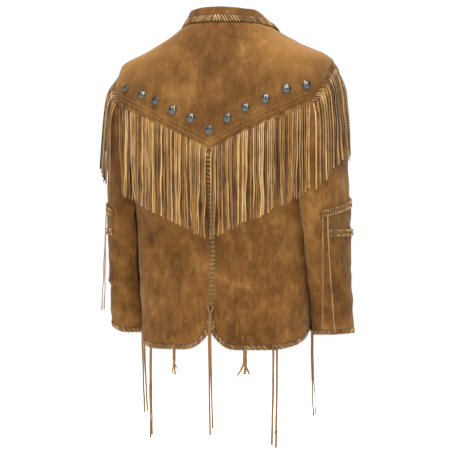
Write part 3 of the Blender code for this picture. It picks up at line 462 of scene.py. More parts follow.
def sleeve_row(side_name, start, angles, v):
    """One row of the sleeve form: v 0 on the armhole, 1 at the first ring, then a height."""
    side = SIDES[side_name]
    if v < 0:
        return clear_of_body(sleeve_ring(side_name, angles, v), side, SLEEVE_CLEARANCE)
    end = clear_of_body(sleeve_ring(side_name, angles, SLEEVE_RINGS[0][0]), side, SLEEVE_CLEARANCE)
    reach = np.linalg.norm(end - start, axis=1, keepdims=True) * CAP_PULL
    under = (1 - np.cos(angles)) / 2
    leave = unit(np.stack((np.full_like(angles, side * CAP_OUT[side_name]), CAP_BACK * np.sin(angles),
                           -CAP_DOWN - CAP_UNDER * under), 1))
    start = start + leave * SLEEVE_SEAM
    arrive = reach * np.array((side * CAP_END_LEAN[side_name], 0.0, -1.0))
    points = ((1 + 2 * v) * (1 - v) ** 2 * start + v * (1 - v) ** 2 * leave * reach
              + v * v * (3 - 2 * v) * end - v * v * (1 - v) * arrive)
    pressed = clear_of_body(points, side, SLEEVE_CLEARANCE * float(ease(v / 0.25)))
    return np.where((points[:, 2] < UNDERARM_Z + 0.05)[:, None], pressed, points)


def finer(stops, steps):
    at = np.linspace(0.0, len(stops) - 1.0, (len(stops) - 1) * steps + 1)
    return np.interp(at, range(len(stops)), stops)


def sleeve_grid(side_name):
    """Rows of a sleeve from armhole to cuff, and its outward normals."""
    side = SIDES[side_name]
    loop = armhole_loop()
    start = body_points(side * loop[:, 0], loop[:, 1])
    angles = 2 * math.pi * np.arange(len(loop)) / len(loop) + SLEEVE_TWIST
    stops = list(finer(CAP_STOPS, FINE)) + list(finer(SLEEVE_STOPS, FINE)[1:])
    grid = np.array([sleeve_row(side_name, start, angles, float(v)) for v in stops])
    last = (len(SLEEVE_STOPS) - 1) * FINE
    share = np.linspace(0.0, 1.0, last + 1)[-FINE - 1:]
    share = (share - share[0]) / (share[-1] - share[0])
    rise = CUFF_RISE[side_name] * np.maximum(0.0, np.cos(angles)) ** 2
    grid[-FINE - 1:, :, 2] += share[:, None] * rise[None]
    normals = grid_normals(grid, closed=True)
    outward = ((grid - grid.mean(axis=1, keepdims=True)) * normals).sum()
    return grid, normals if outward > 0 else -normals


def outside_body(points, clearance):
    """Move points out to a clearance from the body's ring at their height, if they lie within."""
    ring, y, depth = ring_beside(points)
    power = ring["power"]
    size = (np.abs(points[:, 0]) / ring["half_width"]) ** power + (np.abs(y) / depth) ** power
    size = np.maximum(size, 1e-6) ** (1 / power)
    reach = np.hypot(points[:, 0], y)
    scale = np.maximum((reach / size + clearance) / np.maximum(reach, 1e-6), 1.0)
    moved = points.copy()
    moved[:, 0] = points[:, 0] * scale
    moved[:, 1] = ring["side_y"] + y * scale
    return moved


def curve_through(rows, count):
    """Smooth curve through a list of rows of points, read at evenly spaced parts of it."""
    rows = np.asarray(rows)
    padded = np.concatenate((2 * rows[:1] - rows[1:2], rows, 2 * rows[-1:] - rows[-2:-1]))
    made = []
    for at in np.linspace(0.0, len(rows) - 1.0, count):
        i = min(int(at), len(rows) - 2)
        f = at - i
        a, b, c, d = padded[i:i + 4]
        made.append(0.5 * (2 * b + (c - a) * f + (2 * a - 5 * b + 4 * c - d) * f * f
                           + (3 * b - a - 3 * c + d) * f ** 3))
    return np.array(made)


def collar_grid():
    """Rows of the whole collar from its neck seam over the fold to the leaf's edge."""
    c = np.linspace(0.0, 1.0, COLLAR_HALF_COLUMNS + 1)
    turn = COLLAR_END_TURN * c
    neck = np.where(turn <= 1, back_neck_z(turn), front_neck_z(2 - turn))
    base = body_points(turn, neck)
    base[:, 2] += COLLAR_SEAM
    rise = smooth_values(COLLAR_FOLDS, COLLAR_FOLD_COLUMNS, "rise", c)
    inset = smooth_values(COLLAR_FOLDS, COLLAR_FOLD_COLUMNS, "inset", c)
    fold = base + np.stack((-base[:, 0] * inset, -base[:, 1] * inset, rise), 1)
    out = unit(np.stack((base[:, 0], base[:, 1] + 0.01, np.zeros_like(c)), 1))
    edge_turn = smooth_values(COLLAR_EDGE, COLLAR_EDGE_COLUMNS, "turn", c)
    edge_z = smooth_values(COLLAR_EDGE, COLLAR_EDGE_COLUMNS, "height", c)
    edge = body_points(edge_turn, edge_z) + body_normals(edge_turn, edge_z) * COLLAR_CLEARANCE
    start = fold + out * FOLD_HALF
    leaf = [outside_body(start + (edge - start) * share, COLLAR_CLEARANCE * (0.5 + share))
            for share in (0.33, 0.66)]
    left = curve_through([base, (base + fold) / 2 - out * FOLD_HALF * 0.4, fold - out * FOLD_HALF,
                          fold + np.array((0, 0, FOLD_HALF)), start] + leaf + [edge], COLLAR_ROWS)
    right = (left * np.array((-1, 1, 1)))[:, :0:-1]
    grid = np.concatenate((right, left), axis=1)
    normals = grid_normals(grid)
    if (normals[0] * (grid[0] * np.array((1, 1, 0)))).sum() > 0:
        normals = -normals
    return grid, normals


def grid_normals(points, closed=False):
    """Normals of a grid from its own neighbours: across the row times up the column."""
    if closed:
        across = np.roll(points, -1, axis=1) - np.roll(points, 1, axis=1)
    else:
        across = np.gradient(points, axis=1)
    along = np.gradient(points, axis=0)
    return unit(np.cross(across, along))


def drawn_in(points, gap, edges=("top", "bottom", "first", "last")):
    """The same grid with the named edges drawn in by a gap."""
    moved = np.array(points, dtype=float)
    across = moved.swapaxes(0, 1)
    for edge, rows, end, inner in (("bottom", moved, 0, 1), ("top", moved, -1, -2),
                                   ("first", across, 0, 1), ("last", across, -1, -2)):
        if edge in edges:
            rows[end] += unit(rows[inner] - rows[end]) * gap
    return moved


# Materials


def linear(rgb):
    """Colour as the screen shows it, turned to the shader's linear values."""
    return tuple(((c / 255 + 0.055) / 1.055) ** 2.4 if c > 10 else c / 255 / 12.92 for c in rgb) + (1.0,)


class Finish:
    """Small helper that lays out a material's nodes, all in the object's own metres."""

    def __init__(self, name):
        self.made = bpy.data.materials.new(name)
        self.made.use_nodes = True
        self.tree = self.made.node_tree
        self.shader = self.tree.nodes["Principled BSDF"]
        self.place = self.node("ShaderNodeTexCoord").outputs["Object"]

    def node(self, kind, **settings):
        made = self.tree.nodes.new(kind)
        for key, value in settings.items():
            setattr(made, key, value)
        return made

    def link(self, source, target):
        self.tree.links.new(source, target)

    def stretched(self, scale):
        made = self.node("ShaderNodeMapping")
        made.inputs["Scale"].default_value = scale
        self.link(self.place, made.inputs["Vector"])
        return made.outputs["Vector"]

    def noise(self, scale, detail=3.0, roughness=0.55, stretch=None, distortion=0.0):
        made = self.node("ShaderNodeTexNoise")
        made.inputs["Scale"].default_value = scale
        made.inputs["Detail"].default_value = detail
        made.inputs["Roughness"].default_value = roughness
        made.inputs["Distortion"].default_value = distortion
        self.link(self.stretched(stretch) if stretch else self.place, made.inputs["Vector"])
        return made.outputs["Fac"]

    def ramp(self, value, low, high, start=0.0, end=1.0):
        """The value from low to high, turned to start to end and kept between them."""
        made = self.node("ShaderNodeMapRange", clamp=True, interpolation_type="SMOOTHSTEP")
        for key, number in (("From Min", low), ("From Max", high), ("To Min", start), ("To Max", end)):
            made.inputs[key].default_value = number
        self.link(value, made.inputs["Value"])
        return made.outputs["Result"]

    def math(self, operation, first, second):
        made = self.node("ShaderNodeMath", operation=operation)
        for socket, value in zip(made.inputs, (first, second)):
            if isinstance(value, float):
                socket.default_value = value
            else:
                self.link(value, socket)
        return made.outputs[0]

    def mix(self, share, first, second):
        made = self.node("ShaderNodeMix", data_type="RGBA")
        colours = [socket for socket in made.inputs if socket.type == "RGBA"]
        made.inputs[0].default_value = 0.5
        self.link(share, made.inputs[0])
        for socket, value in zip(colours, (first, second)):
            if isinstance(value, tuple):
                socket.default_value = value
            else:
                self.link(value, socket)
        return [socket for socket in made.outputs if socket.type == "RGBA"][0]

    def bump(self, height, strength, distance):
        made = self.node("ShaderNodeBump")
        made.inputs["Strength"].default_value = strength
        made.inputs["Distance"].default_value = distance
        self.link(height, made.inputs["Height"])
        self.link(made.outputs["Normal"], self.shader.inputs["Normal"])

    def colour(self, value):
        self.link(value, self.shader.inputs["Base Color"])

    def constant(self, **values):
        for key, value in values.items():
            self.shader.inputs[key.replace("_", " ")].default_value = value


def suede(name, dark, middle, light, nap=1.0, sheen=0.14, shoulder_highlight=False):
    """Brushed suede: broad clouds, brushed patches, short nap streaks and a fine fibre grain;
    shoulder_highlight adds painted light to the upper sides.
    """
    made = Finish(name)
    clouds = made.noise(7.5, 2.0, 0.5, distortion=0.6)
    brushed = made.noise(34.0, 4.0, 0.62, (1.0, 1.0, 0.7), 0.4)
    streaks = made.noise(150.0, 3.0, 0.6, (1.0, 1.0, 0.30))
    grain = made.noise(340.0, 3.0, 0.75)
    broad = made.math("ADD", made.math("MULTIPLY", clouds, 0.50), made.math("MULTIPLY", brushed, 0.50))
    tone = made.mix(made.ramp(broad, 0.36, 0.53), linear(dark), linear(middle))
    tone = made.mix(made.ramp(broad, 0.50, 0.68), tone, linear(light))
    fibre = made.math("ADD", made.math("MULTIPLY", streaks, 0.5), made.math("MULTIPLY", grain, 0.5))
    deeper = tuple(c * 0.62 for c in linear(dark)[:3]) + (1.0,)
    tone = made.mix(made.ramp(fibre, 0.50, 0.32, 0.0, 0.50 * nap), tone, deeper)
    tone = made.mix(made.ramp(fibre, 0.52, 0.70, 0.0, 0.70 * nap), tone, linear(light))
    # Painted highlight: away from the middle and high on the shoulders the colour is mixed toward a brighter
    # tan, as if lit from above.
    if shoulder_highlight:
        parts = made.node("ShaderNodeSeparateXYZ")
        made.link(made.place, parts.inputs[0])
        aside = made.node("ShaderNodeMath", operation="ABSOLUTE")
        made.link(parts.outputs["X"], aside.inputs[0])
        aside = made.ramp(aside.outputs[0], 0.03, 0.20)
        high = made.ramp(parts.outputs["Z"], -0.18, -0.05)
        share = made.math("MULTIPLY", made.math("MULTIPLY", aside, high), 0.55)
        tone = made.mix(share, tone, tuple(c * 1.35 for c in linear(light)[:3]) + (1.0,))
    made.colour(tone)
    made.bump(fibre, 0.45 * nap, 0.0012)
    made.constant(Roughness=0.95, Sheen_Weight=sheen, Sheen_Roughness=0.45, Specular_IOR_Level=0.12)
    made.constant(Sheen_Tint=(1.0, 0.80, 0.52, 1.0))
    return made.made


def strand_finish(name, dark, middle, light, edge=False):
    """Cut fringe leather: each strand its own tone, with faint lengthwise marks."""
    made = Finish(name)
    each = made.node("ShaderNodeAttribute", attribute_name="strand_tone").outputs["Fac"]
    along = made.noise(240.0, 3.0, 0.6, (1.0, 1.0, 0.12))
    patches = made.noise(60.0, 3.0, 0.6, (1.0, 1.0, 0.35))
    value = made.math("ADD", made.math("MULTIPLY", each, 0.46), made.math("MULTIPLY", patches, 0.54))
    tone = made.mix(made.ramp(value, 0.22, 0.48), linear(dark), linear(middle))
    tone = made.mix(made.ramp(value, 0.46, 0.76), tone, linear(light))
    marks = tuple(c * (0.66 if edge else 0.58) for c in linear(dark)[:3]) + (1.0,)
    tone = made.mix(made.ramp(along, 0.46, 0.28, 0.0, 0.6), tone, marks)
    made.colour(tone)
    made.bump(along, 0.35, 0.0008)
    made.constant(Roughness=0.93, Sheen_Weight=0.12, Sheen_Roughness=0.5, Specular_IOR_Level=0.15)
    return made.made


def plain_finish(name, low, high, scale, roughness, stretch=None, coat=0.0):
    """Two tones of one stuff, mixed by a fine noise that also roughens it."""
    made = Finish(name)
    value = made.noise(scale, 4.0, 0.6, stretch)
    made.colour(made.mix(made.ramp(value, 0.34, 0.66), linear(low), linear(high)))
    made.bump(value, 0.2, 0.0005)
    made.constant(Coat_Weight=coat)
    made.link(made.ramp(value, 0.3, 0.7, roughness * 0.8, min(roughness * 1.25, 1.0)),
              made.shader.inputs["Roughness"])
    return made.made


def gunmetal_finish():
    """Dark antiqued metal: worn bright where it stands up, blackened in the recesses."""
    made = Finish("gunmetal_antique")
    relief = made.node("ShaderNodeAttribute", attribute_name="strand_tone").outputs["Fac"]
    wear = made.noise(420.0, 4.0, 0.65)
    tone = made.mix(made.ramp(made.math("ADD", relief, made.math("MULTIPLY", wear, 0.35)), 0.35, 1.0),
                    linear((20, 20, 19)), linear((116, 114, 108)))
    made.colour(tone)
    made.bump(wear, 0.25, 0.0004)
    made.constant(Metallic=1.0)
    made.link(made.ramp(wear, 0.3, 0.7, 0.24, 0.44), made.shader.inputs["Roughness"])
    return made.made


FINISHES = {
    "suede": suede("suede_tan", (80, 50, 20), (107, 70, 31), (137, 98, 51)),
    # The yoke carries painted light on its shoulders.
    "suede_yoke": suede("suede_yoke", (82, 52, 22), (101, 67, 30), (130, 92, 48), shoulder_highlight=True),
    "suede_dark": suede("suede_olive", (78, 54, 24), (98, 70, 34), (118, 88, 47), 1.1, 0.12),
    "suede_band": suede("suede_band", (84, 57, 27), (112, 80, 40), (140, 104, 58)),
    "suede_collar": suede("suede_collar", (80, 51, 21), (100, 66, 29), (126, 88, 45)),
    "inner": suede("suede_reverse", (84, 58, 32), (104, 74, 44), (122, 92, 60), 0.6, 0.1),
    "fringe": strand_finish("fringe_face", (76, 49, 22), (146, 104, 54), (196, 154, 96)),
    # Cut edges of strands and thongs: their own greyer tone, darkened further as painted shade in the gaps
    # between strands.
    "fringe_edge_and_shade": strand_finish("fringe_cut_edge_and_shade", (76, 58, 38), (114, 94, 66), (156, 134, 100), True),
    "thong": strand_finish("thong_face", (96, 66, 34), (128, 92, 52), (158, 120, 74)),
    "lace": strand_finish("lace_face", (80, 54, 28), (126, 92, 52), (186, 150, 102)),
    "lace_soft": strand_finish("lace_soft", (92, 64, 34), (134, 100, 60), (170, 134, 90)),
    # Near-black finish of holes and of the strips between strokes: painted shade in recesses and gaps.
    "hole": plain_finish("punched_hole_shade", (22, 15, 9), (38, 26, 16), 900.0, 0.9),
    "seam": plain_finish("seam_groove", (46, 30, 16), (66, 44, 24), 700.0, 0.9),
    "thread": plain_finish("stitch_thread", (122, 90, 52), (172, 138, 90), 1500.0, 0.7),
    "metal": gunmetal_finish(),
    "button": plain_finish("button_horn", (36, 22, 13), (84, 56, 34), 120.0, 0.32, (1, 1, 0.3), 0.3),
}


# Mesh making


def add_piece(name, verts, faces, finishes, slots, tones=None, sharp=42):
    """A mesh object that rides on the jacket, with its finishes by face and tones by point."""
    mesh = bpy.data.meshes.new(name)
    mesh.from_pydata(posed(verts).tolist(), [], [tuple(int(i) for i in face) for face in faces])
    for finish in finishes:
        mesh.materials.append(FINISHES[finish])
    mesh.polygons.foreach_set("material_index", np.asarray(slots, np.int32))
    if tones is not None:
        marks = mesh.attributes.new("strand_tone", "FLOAT", "POINT")
        marks.data.foreach_set("value", np.asarray(tones, np.float32))
    mesh.validate()
    mesh.shade_smooth()
    mesh.set_sharp_from_angle(angle=math.radians(sharp))
    made = bpy.data.objects.new(name, mesh)
    bpy.context.scene.collection.objects.link(made)
    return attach(made, "root")


def grid_faces(rows, columns, closed=False):
    """Quads of a grid whose points are counted row by row."""
    last = columns if closed else columns - 1
    r, k = np.meshgrid(np.arange(rows - 1), np.arange(last), indexing="ij")
    a = r * columns + k
    b = r * columns + (k + 1) % columns
    return np.stack((a, b, b + columns, a + columns), -1).reshape(-1, 4)


def rim_faces(rows, columns, below, closed=False):
    """Quads that close a wall's edges, between its outer and inner grids."""
    last = columns if closed else columns - 1
    k = np.arange(last)
    n = (k + 1) % columns
    low = np.stack((n, k, k + below, n + below), 1)
    high_row = (rows - 1) * columns
    high = np.stack((k + high_row, n + high_row, n + high_row + below, k + high_row + below), 1)
    made = [low, high]
    if not closed:
        r = np.arange(rows - 1) * columns
        made.append(np.stack((r, r + columns, r + columns + below, r + below), 1))
        r = r + columns - 1
        made.append(np.stack((r + columns, r, r + below, r + columns + below), 1))
    return np.concatenate(made)


def cloth(name, points, normals, finish, thickness=CLOTH, inner="inner"):
    """Cloth shell: the outer grid, the same grid pushed in by the thickness, and soft rims."""
    rows, columns = points.shape[:2]
    below = rows * columns
    verts = np.concatenate((points.reshape(-1, 3), (points - normals * thickness).reshape(-1, 3)))
    outer = grid_faces(rows, columns)
    sides = rim_faces(rows, columns, below)
    middle = (outer.shape[0] // 2)
    a, b, c = (points.reshape(-1, 3)[outer[middle, i]] for i in (0, 1, 2))
    facing = float(np.dot(np.cross(b - a, c - a), normals.reshape(-1, 3)[outer[middle, 0]]))
    if facing < 0:
        outer = outer[:, ::-1]
        sides = sides[:, ::-1]
    faces = np.concatenate((outer, outer[:, ::-1] + below, sides))
    slots = np.concatenate((np.zeros(len(outer)), np.ones(len(outer)), np.zeros(len(sides))))
    return add_piece(name, verts, faces, (finish, inner), slots)


def back_ray(tree, x, z):
    """Where a level line from behind meets the cloth at (x, z), and its normal there."""
    return tree.ray_cast(Vector((x, 0.5, z)), Vector((0.0, -1.0, 0.0)))[:2]


class Ground:
    """A cloth surface that trims, stitches and discs are laid on."""

    def __init__(self, grid, closed=False):
        faces = grid_faces(*grid.shape[:2], closed)
        self.tree = BVHTree.FromPolygons(grid.reshape(-1, 3).tolist(), faces.tolist())

    def seat(self, point, toward=None):
        """Nearest point on the cloth, and its outward normal."""
        place, normal = self.tree.find_nearest(Vector(point))[:2]
        normal = np.array(normal)
        if toward is not None and np.dot(normal, toward) < 0:
            normal = -normal
        return np.array(place), normal


def sample(grid, row, column):
    """Grid points read at fractional rows and columns."""
    row = np.clip(np.asarray(row, float), 0, grid.shape[0] - 1)
    column = np.clip(np.asarray(column, float), 0, grid.shape[1] - 1)
    r = np.minimum(row.astype(int), grid.shape[0] - 2)
    c = np.minimum(column.astype(int), grid.shape[1] - 2)
    fr = (row - r)[..., None]
    fc = (column - c)[..., None]
    low = grid[r, c] * (1 - fc) + grid[r, c + 1] * fc
    high = grid[r + 1, c] * (1 - fc) + grid[r + 1, c + 1] * fc
    return low * (1 - fr) + high * fr


def even_line(points, pitch):
    """A polyline's points, normals or other columns at even real steps of about one pitch."""
    points = np.asarray(points)
    steps = np.linalg.norm(np.diff(points[:, :3], axis=0), axis=1)
    along = np.concatenate(([0.0], np.cumsum(steps)))
    count = max(int(round(along[-1] / pitch)), 1)
    at = np.linspace(0.0, along[-1], count + 1)
    return np.stack([np.interp(at, along, points[:, a]) for a in range(points.shape[1])], 1)


class Parts:
    """Many small closed forms gathered into one mesh."""

    def __init__(self):
        self.verts = []
        self.faces = []
        self.slots = []
        self.tones = []

    def walls(self, rings, slots):
        """Sides between rings of equal size over a closed base; returns the last ring's start."""
        rings = np.asarray(rings)
        count, sides = rings.shape[:2]
        start = len(self.verts)
        self.verts.extend(rings.reshape(-1, 3).tolist())
        for a in range(start, start + (count - 1) * sides, sides):
            for s in range(sides):
                n = (s + 1) % sides
                self.faces.append((a + s, a + n, a + sides + n, a + sides + s))
                self.slots.append(slots[s])
        self.faces.append(tuple(range(start + sides - 1, start - 1, -1)))
        self.slots.append(max(slots))
        return start + (count - 1) * sides

    def tube(self, rings, slots=None, tone=0.5):
        """Rings of equal size joined into a tube with closed ends; slots name each side's finish."""
        sides = len(rings[0])
        slots = slots or [0] * sides
        last = self.walls(rings, slots)
        self.faces.append(tuple(range(last, last + sides)))
        self.slots.append(max(slots))
        self.tones.extend([tone] * (len(rings) * sides))

    def fan(self, rings, tip, tones=None, slot=0):
        """Rings closed over a tip and under a flat base."""
        sides = len(rings[0])
        last = self.walls(rings, [slot] * sides)
        self.faces.extend((last + s, last + (s + 1) % sides, last + sides) for s in range(sides))
        self.slots.extend([slot] * sides)
        self.verts.append(list(tip))
        self.tones.extend(tones or [0.5] * (len(rings) * sides + 1))

    def piece(self, name, finishes, sharp):
        made = add_piece(name, np.array(self.verts), self.faces, finishes, self.slots, self.tones, sharp)
        work = bmesh.new()
        work.from_mesh(made.data)
        bmesh.ops.recalc_face_normals(work, faces=work.faces[:])
        work.to_mesh(made.data)
        work.free()
        return made


def scatter(seed, reach=1.0):
    """Even, repeatable wander between minus and plus reach for a whole number."""
    value = math.sin(seed * 12.9898 + 4.1414) * 43758.5453
    return (value - math.floor(value) - 0.5) * 2 * reach


# Folds: soft ridges (plus) and troughs (minus) as x and z of both ends, width and depth
BACK_FOLDS = (
    (0.196, -0.400, 0.120, -0.560, 0.016, -0.0034),
    (0.165, -0.410, 0.085, -0.540, 0.020, 0.0026),
    (-0.196, -0.405, -0.130, -0.590, 0.016, -0.0038),
    (-0.165, -0.420, -0.100, -0.560, 0.020, 0.0030),
    (0.060, -0.470, 0.175, -0.505, 0.012, -0.0022),
    (-0.050, -0.520, -0.165, -0.500, 0.013, -0.0022),
    (0.075, -0.600, 0.095, -0.745, 0.020, 0.0038),
    (0.125, -0.620, 0.140, -0.735, 0.016, -0.0032),
    (-0.060, -0.570, -0.075, -0.745, 0.022, 0.0042),
    (-0.115, -0.600, -0.130, -0.740, 0.018, -0.0034),
    (-0.165, -0.600, -0.168, -0.725, 0.014, 0.0030),
    (0.035, -0.560, 0.032, -0.700, 0.012, -0.0020),
    (0.215, -0.115, 0.090, -0.085, 0.016, -0.0022),
    (-0.215, -0.110, -0.095, -0.075, 0.016, -0.0024),
    (0.200, -0.150, 0.120, -0.200, 0.014, 0.0018),
    (-0.205, -0.150, -0.110, -0.190, 0.014, 0.0020),
    (0.020, -0.060, 0.010, -0.200, 0.022, -0.0016),
    (-0.060, -0.055, -0.075, -0.150, 0.020, 0.0016),
)
FRONT_FOLDS = (
    (0.190, -0.390, 0.110, -0.520, 0.016, -0.0036),
    (-0.190, -0.390, -0.115, -0.530, 0.016, -0.0034),
    (0.160, -0.400, 0.070, -0.500, 0.020, 0.0028),
    (-0.160, -0.410, -0.080, -0.520, 0.020, 0.0028),
    (0.080, -0.580, 0.090, -0.735, 0.020, 0.0038),
    (-0.075, -0.570, -0.090, -0.730, 0.022, 0.0040),
    (0.140, -0.600, 0.145, -0.720, 0.015, -0.0030),
    (-0.135, -0.610, -0.142, -0.720, 0.015, -0.0032),
    (0.200, -0.150, 0.120, -0.260, 0.018, -0.0026),
    (-0.200, -0.155, -0.125, -0.250, 0.018, -0.0028),
    (0.050, -0.470, 0.165, -0.480, 0.012, -0.0020),
    (-0.050, -0.480, -0.160, -0.470, 0.012, -0.0020),
)

# Sleeve folds: middle angle, half span and slope per radian, height, width and depth
SLEEVE_FOLDS = {
    "left": (
        (40, 48, 0.0, -0.603, 0.006, -0.0034),
        (40, 46, 0.0, -0.593, 0.006, 0.0036),
        (60, 70, -0.030, -0.500, 0.009, -0.0024),
        (110, 50, 0.050, -0.450, 0.010, -0.0026),
        (130, 45, 0.045, -0.415, 0.010, 0.0022),
        (-60, 60, -0.040, -0.470, 0.010, -0.0030),
        (-80, 55, -0.030, -0.500, 0.011, 0.0026),
        (-70, 60, 0.020, -0.545, 0.010, -0.0028),
        (20, 60, 0.020, -0.660, 0.012, 0.0020),
        (200, 60, 0.030, -0.520, 0.012, -0.0030),
    ),
    "right": (
        (75, 60, -0.024, -0.560, 0.010, -0.0011),
        (85, 55, 0.030, -0.610, 0.012, 0.0012),
        (60, 60, 0.026, -0.665, 0.011, -0.0011),
        (110, 50, -0.050, -0.455, 0.010, -0.0016),
        (130, 45, -0.040, -0.420, 0.012, 0.0014),
        (-60, 60, 0.040, -0.475, 0.010, -0.0030),
        (-80, 55, 0.030, -0.505, 0.011, 0.0026),
        (-70, 60, -0.020, -0.550, 0.010, -0.0028),
        (10, 60, -0.020, -0.640, 0.012, 0.0018),
        (200, 60, -0.030, -0.520, 0.012, -0.0030),
    ),
}


def uneven(x, y, z):
    """Slight unevenness of the whole cloth, a millimetre or less."""
    return (0.00050 * np.sin(61 * x + 23 * z + 1.3) * np.cos(37 * z - 11 * y)
            + 0.00042 * np.sin(97 * z - 41 * x + 0.7) + 0.00030 * np.sin(151 * x + 83 * y + 113 * z))


def folded(points, normals, folds):
    """A panel's grid moved along its normals by the folds drawn on it."""
    x, y, z = (points[..., a] for a in range(3))
    lift = uneven(x, y, z)
    for x0, z0, x1, z1, width, depth in folds:
        dx = x1 - x0
        dz = z1 - z0
        t = np.clip(((x - x0) * dx + (z - z0) * dz) / (dx * dx + dz * dz), 0.0, 1.0)
        away = np.hypot(x - x0 - t * dx, z - z0 - t * dz)
        lift = lift + depth * np.exp(-(away / width) ** 2) * np.sqrt(np.sin(np.pi * np.clip(t, 0.04, 0.96)))
    return points + normals * lift[..., None]


def tucked(points, normals, edges, depth=0.0009, reach=0.0045):
    """Cloth that dips toward its seams along the named edges."""
    moved = points.copy()
    for edge in edges:
        rows = np.swapaxes(points, 0, 1) if edge in ("first", "last") else points
        rows = rows[::-1] if edge in ("last", "top") else rows
        steps = np.linalg.norm(np.diff(rows, axis=0), axis=-1)
        along = np.concatenate((np.zeros((1,) + steps.shape[1:]), np.cumsum(steps, axis=0)))
        dip = depth * np.exp(-(along / reach) ** 2)
        dip = dip[::-1] if edge in ("last", "top") else dip
        dip = np.swapaxes(dip, 0, 1) if edge in ("first", "last") else dip
        moved -= normals * dip[..., None]
    return moved


# Body panels and yoke

back_form = {}
back_ground = {}
patch = back_patch()
for side_name, side in SIDES.items():
    points, normals = on_body(patch, "back", side)
    points[:, 0, 0] = 0.0
    normals[:, 0, 0] = 0.0
    points = folded(points, normals, BACK_FOLDS)
    back_form[side_name] = (points, normals)
    panel = drawn_in(tucked(points, normals, ("first", "last")), SEAM_GAP)
    drop = np.maximum(VENT_TOP_Z - panel[:, 0, 2], 0.0)
    panel[:, 0, 0] += side * VENT_GAP * ease(drop / 0.02)
    back_ground[side_name] = panel
    made = cloth("back_panel_" + side_name, panel, normals, "suede")
    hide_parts("back_" + side_name)

whole_back, whole_normals = (np.concatenate((right[:, :0:-1], left), axis=1)
                             for right, left in zip(back_form["right"], back_form["left"]))
yoke_form = whole_back[YOKE_ROW:]
yoke_normals = whole_normals[YOKE_ROW:]
yoke_form = drawn_in(yoke_form, YOKE_SIDE_GAP, ("first", "last"))
yoke_form = drawn_in(yoke_form, YOKE_NECK_GAP, ("top",))
yoke_form = tucked(yoke_form, yoke_normals, ("bottom",), 0.0005, 0.003)
yoke_top = yoke_form + yoke_normals * (YOKE_BASE + CLOTH)
yoke = cloth("yoke_panel", yoke_top, yoke_normals, "suede_yoke")
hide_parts("yoke_back")

LAP_COLUMNS = 5
front_ground = {}
front_patch_rows = front_patch()
for side_name, side in SIDES.items():
    points, normals = on_body(front_patch_rows, "front", side)
    points = folded(points, normals, FRONT_FOLDS)
    lap = np.repeat(points[:, :1], LAP_COLUMNS, axis=1)
    lap[..., 0] = np.linspace(-FRONT_LAP, 0.0, LAP_COLUMNS) * side
    points = np.concatenate((lap, points[:, 2:]), axis=1)
    normals = np.concatenate((np.repeat(normals[:, :1], LAP_COLUMNS, axis=1), normals[:, 2:]), axis=1)
    if side_name == "right":
        near = ease((0.024 - side * points[..., 0]) / 0.012)[..., None]
        points = points - normals * FRONT_LAP_DEPTH * near
    panel = drawn_in(tucked(points, normals, ("last",)), SEAM_GAP)
    front_ground[side_name] = panel
    made = cloth("front_panel_" + side_name, panel, normals, "suede")
    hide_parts("front_" + side_name)

# Sleeves and elbow inserts

PATCH_COLUMNS = (-3.0, 2.3)
PATCH_TOP = (0.05, 0.80)
PATCH_LIFT = 0.0014
PATCH_CLOTH = 0.0011
PATCH_GRID = (25, 57)
CAP_ROWS = (len(CAP_STOPS) - 1) * FINE


def sleeve_folded(side_name, grid, normals):
    z = grid[..., 2]
    angles = 2 * math.pi * np.arange(grid.shape[1]) / grid.shape[1] + SLEEVE_TWIST
    lift = uneven(grid[..., 0], grid[..., 1], z)
    for angle, span, slope, height, width, depth in SLEEVE_FOLDS[side_name]:
        away = (angles - math.radians(angle) + math.pi) % (2 * math.pi) - math.pi
        share = np.exp(-(away / math.radians(span)) ** 2)[None]
        lift = lift + depth * share * np.exp(-((z - height - slope * away[None]) / width) ** 2)
    cap = ease((np.arange(grid.shape[0])[:, None] / FINE - 0.4) / 1.6)
    return grid + normals * (lift * cap)[..., None]


def whole_sleeve_form(side_name):
    """A sleeve's closed form as a grid whose last column repeats its first."""
    return [np.concatenate((rows, rows[:, :1]), axis=1) for rows in sleeve_form[side_name]]


def outside_sleeve(side_name, point, clearance):
    """A point set at a clearance over the sleeve's cloth, and the cloth's outward normal there."""
    grid = sleeve_form[side_name][0]
    place, normal = sleeve_ground[side_name].seat(point)
    middle = grid[int(np.argmin(np.abs(grid[:, 0, 2] - place[2])))].mean(axis=0)
    if np.dot(normal, place - middle) < 0:
        normal = -normal
    return place + normal * clearance, normal


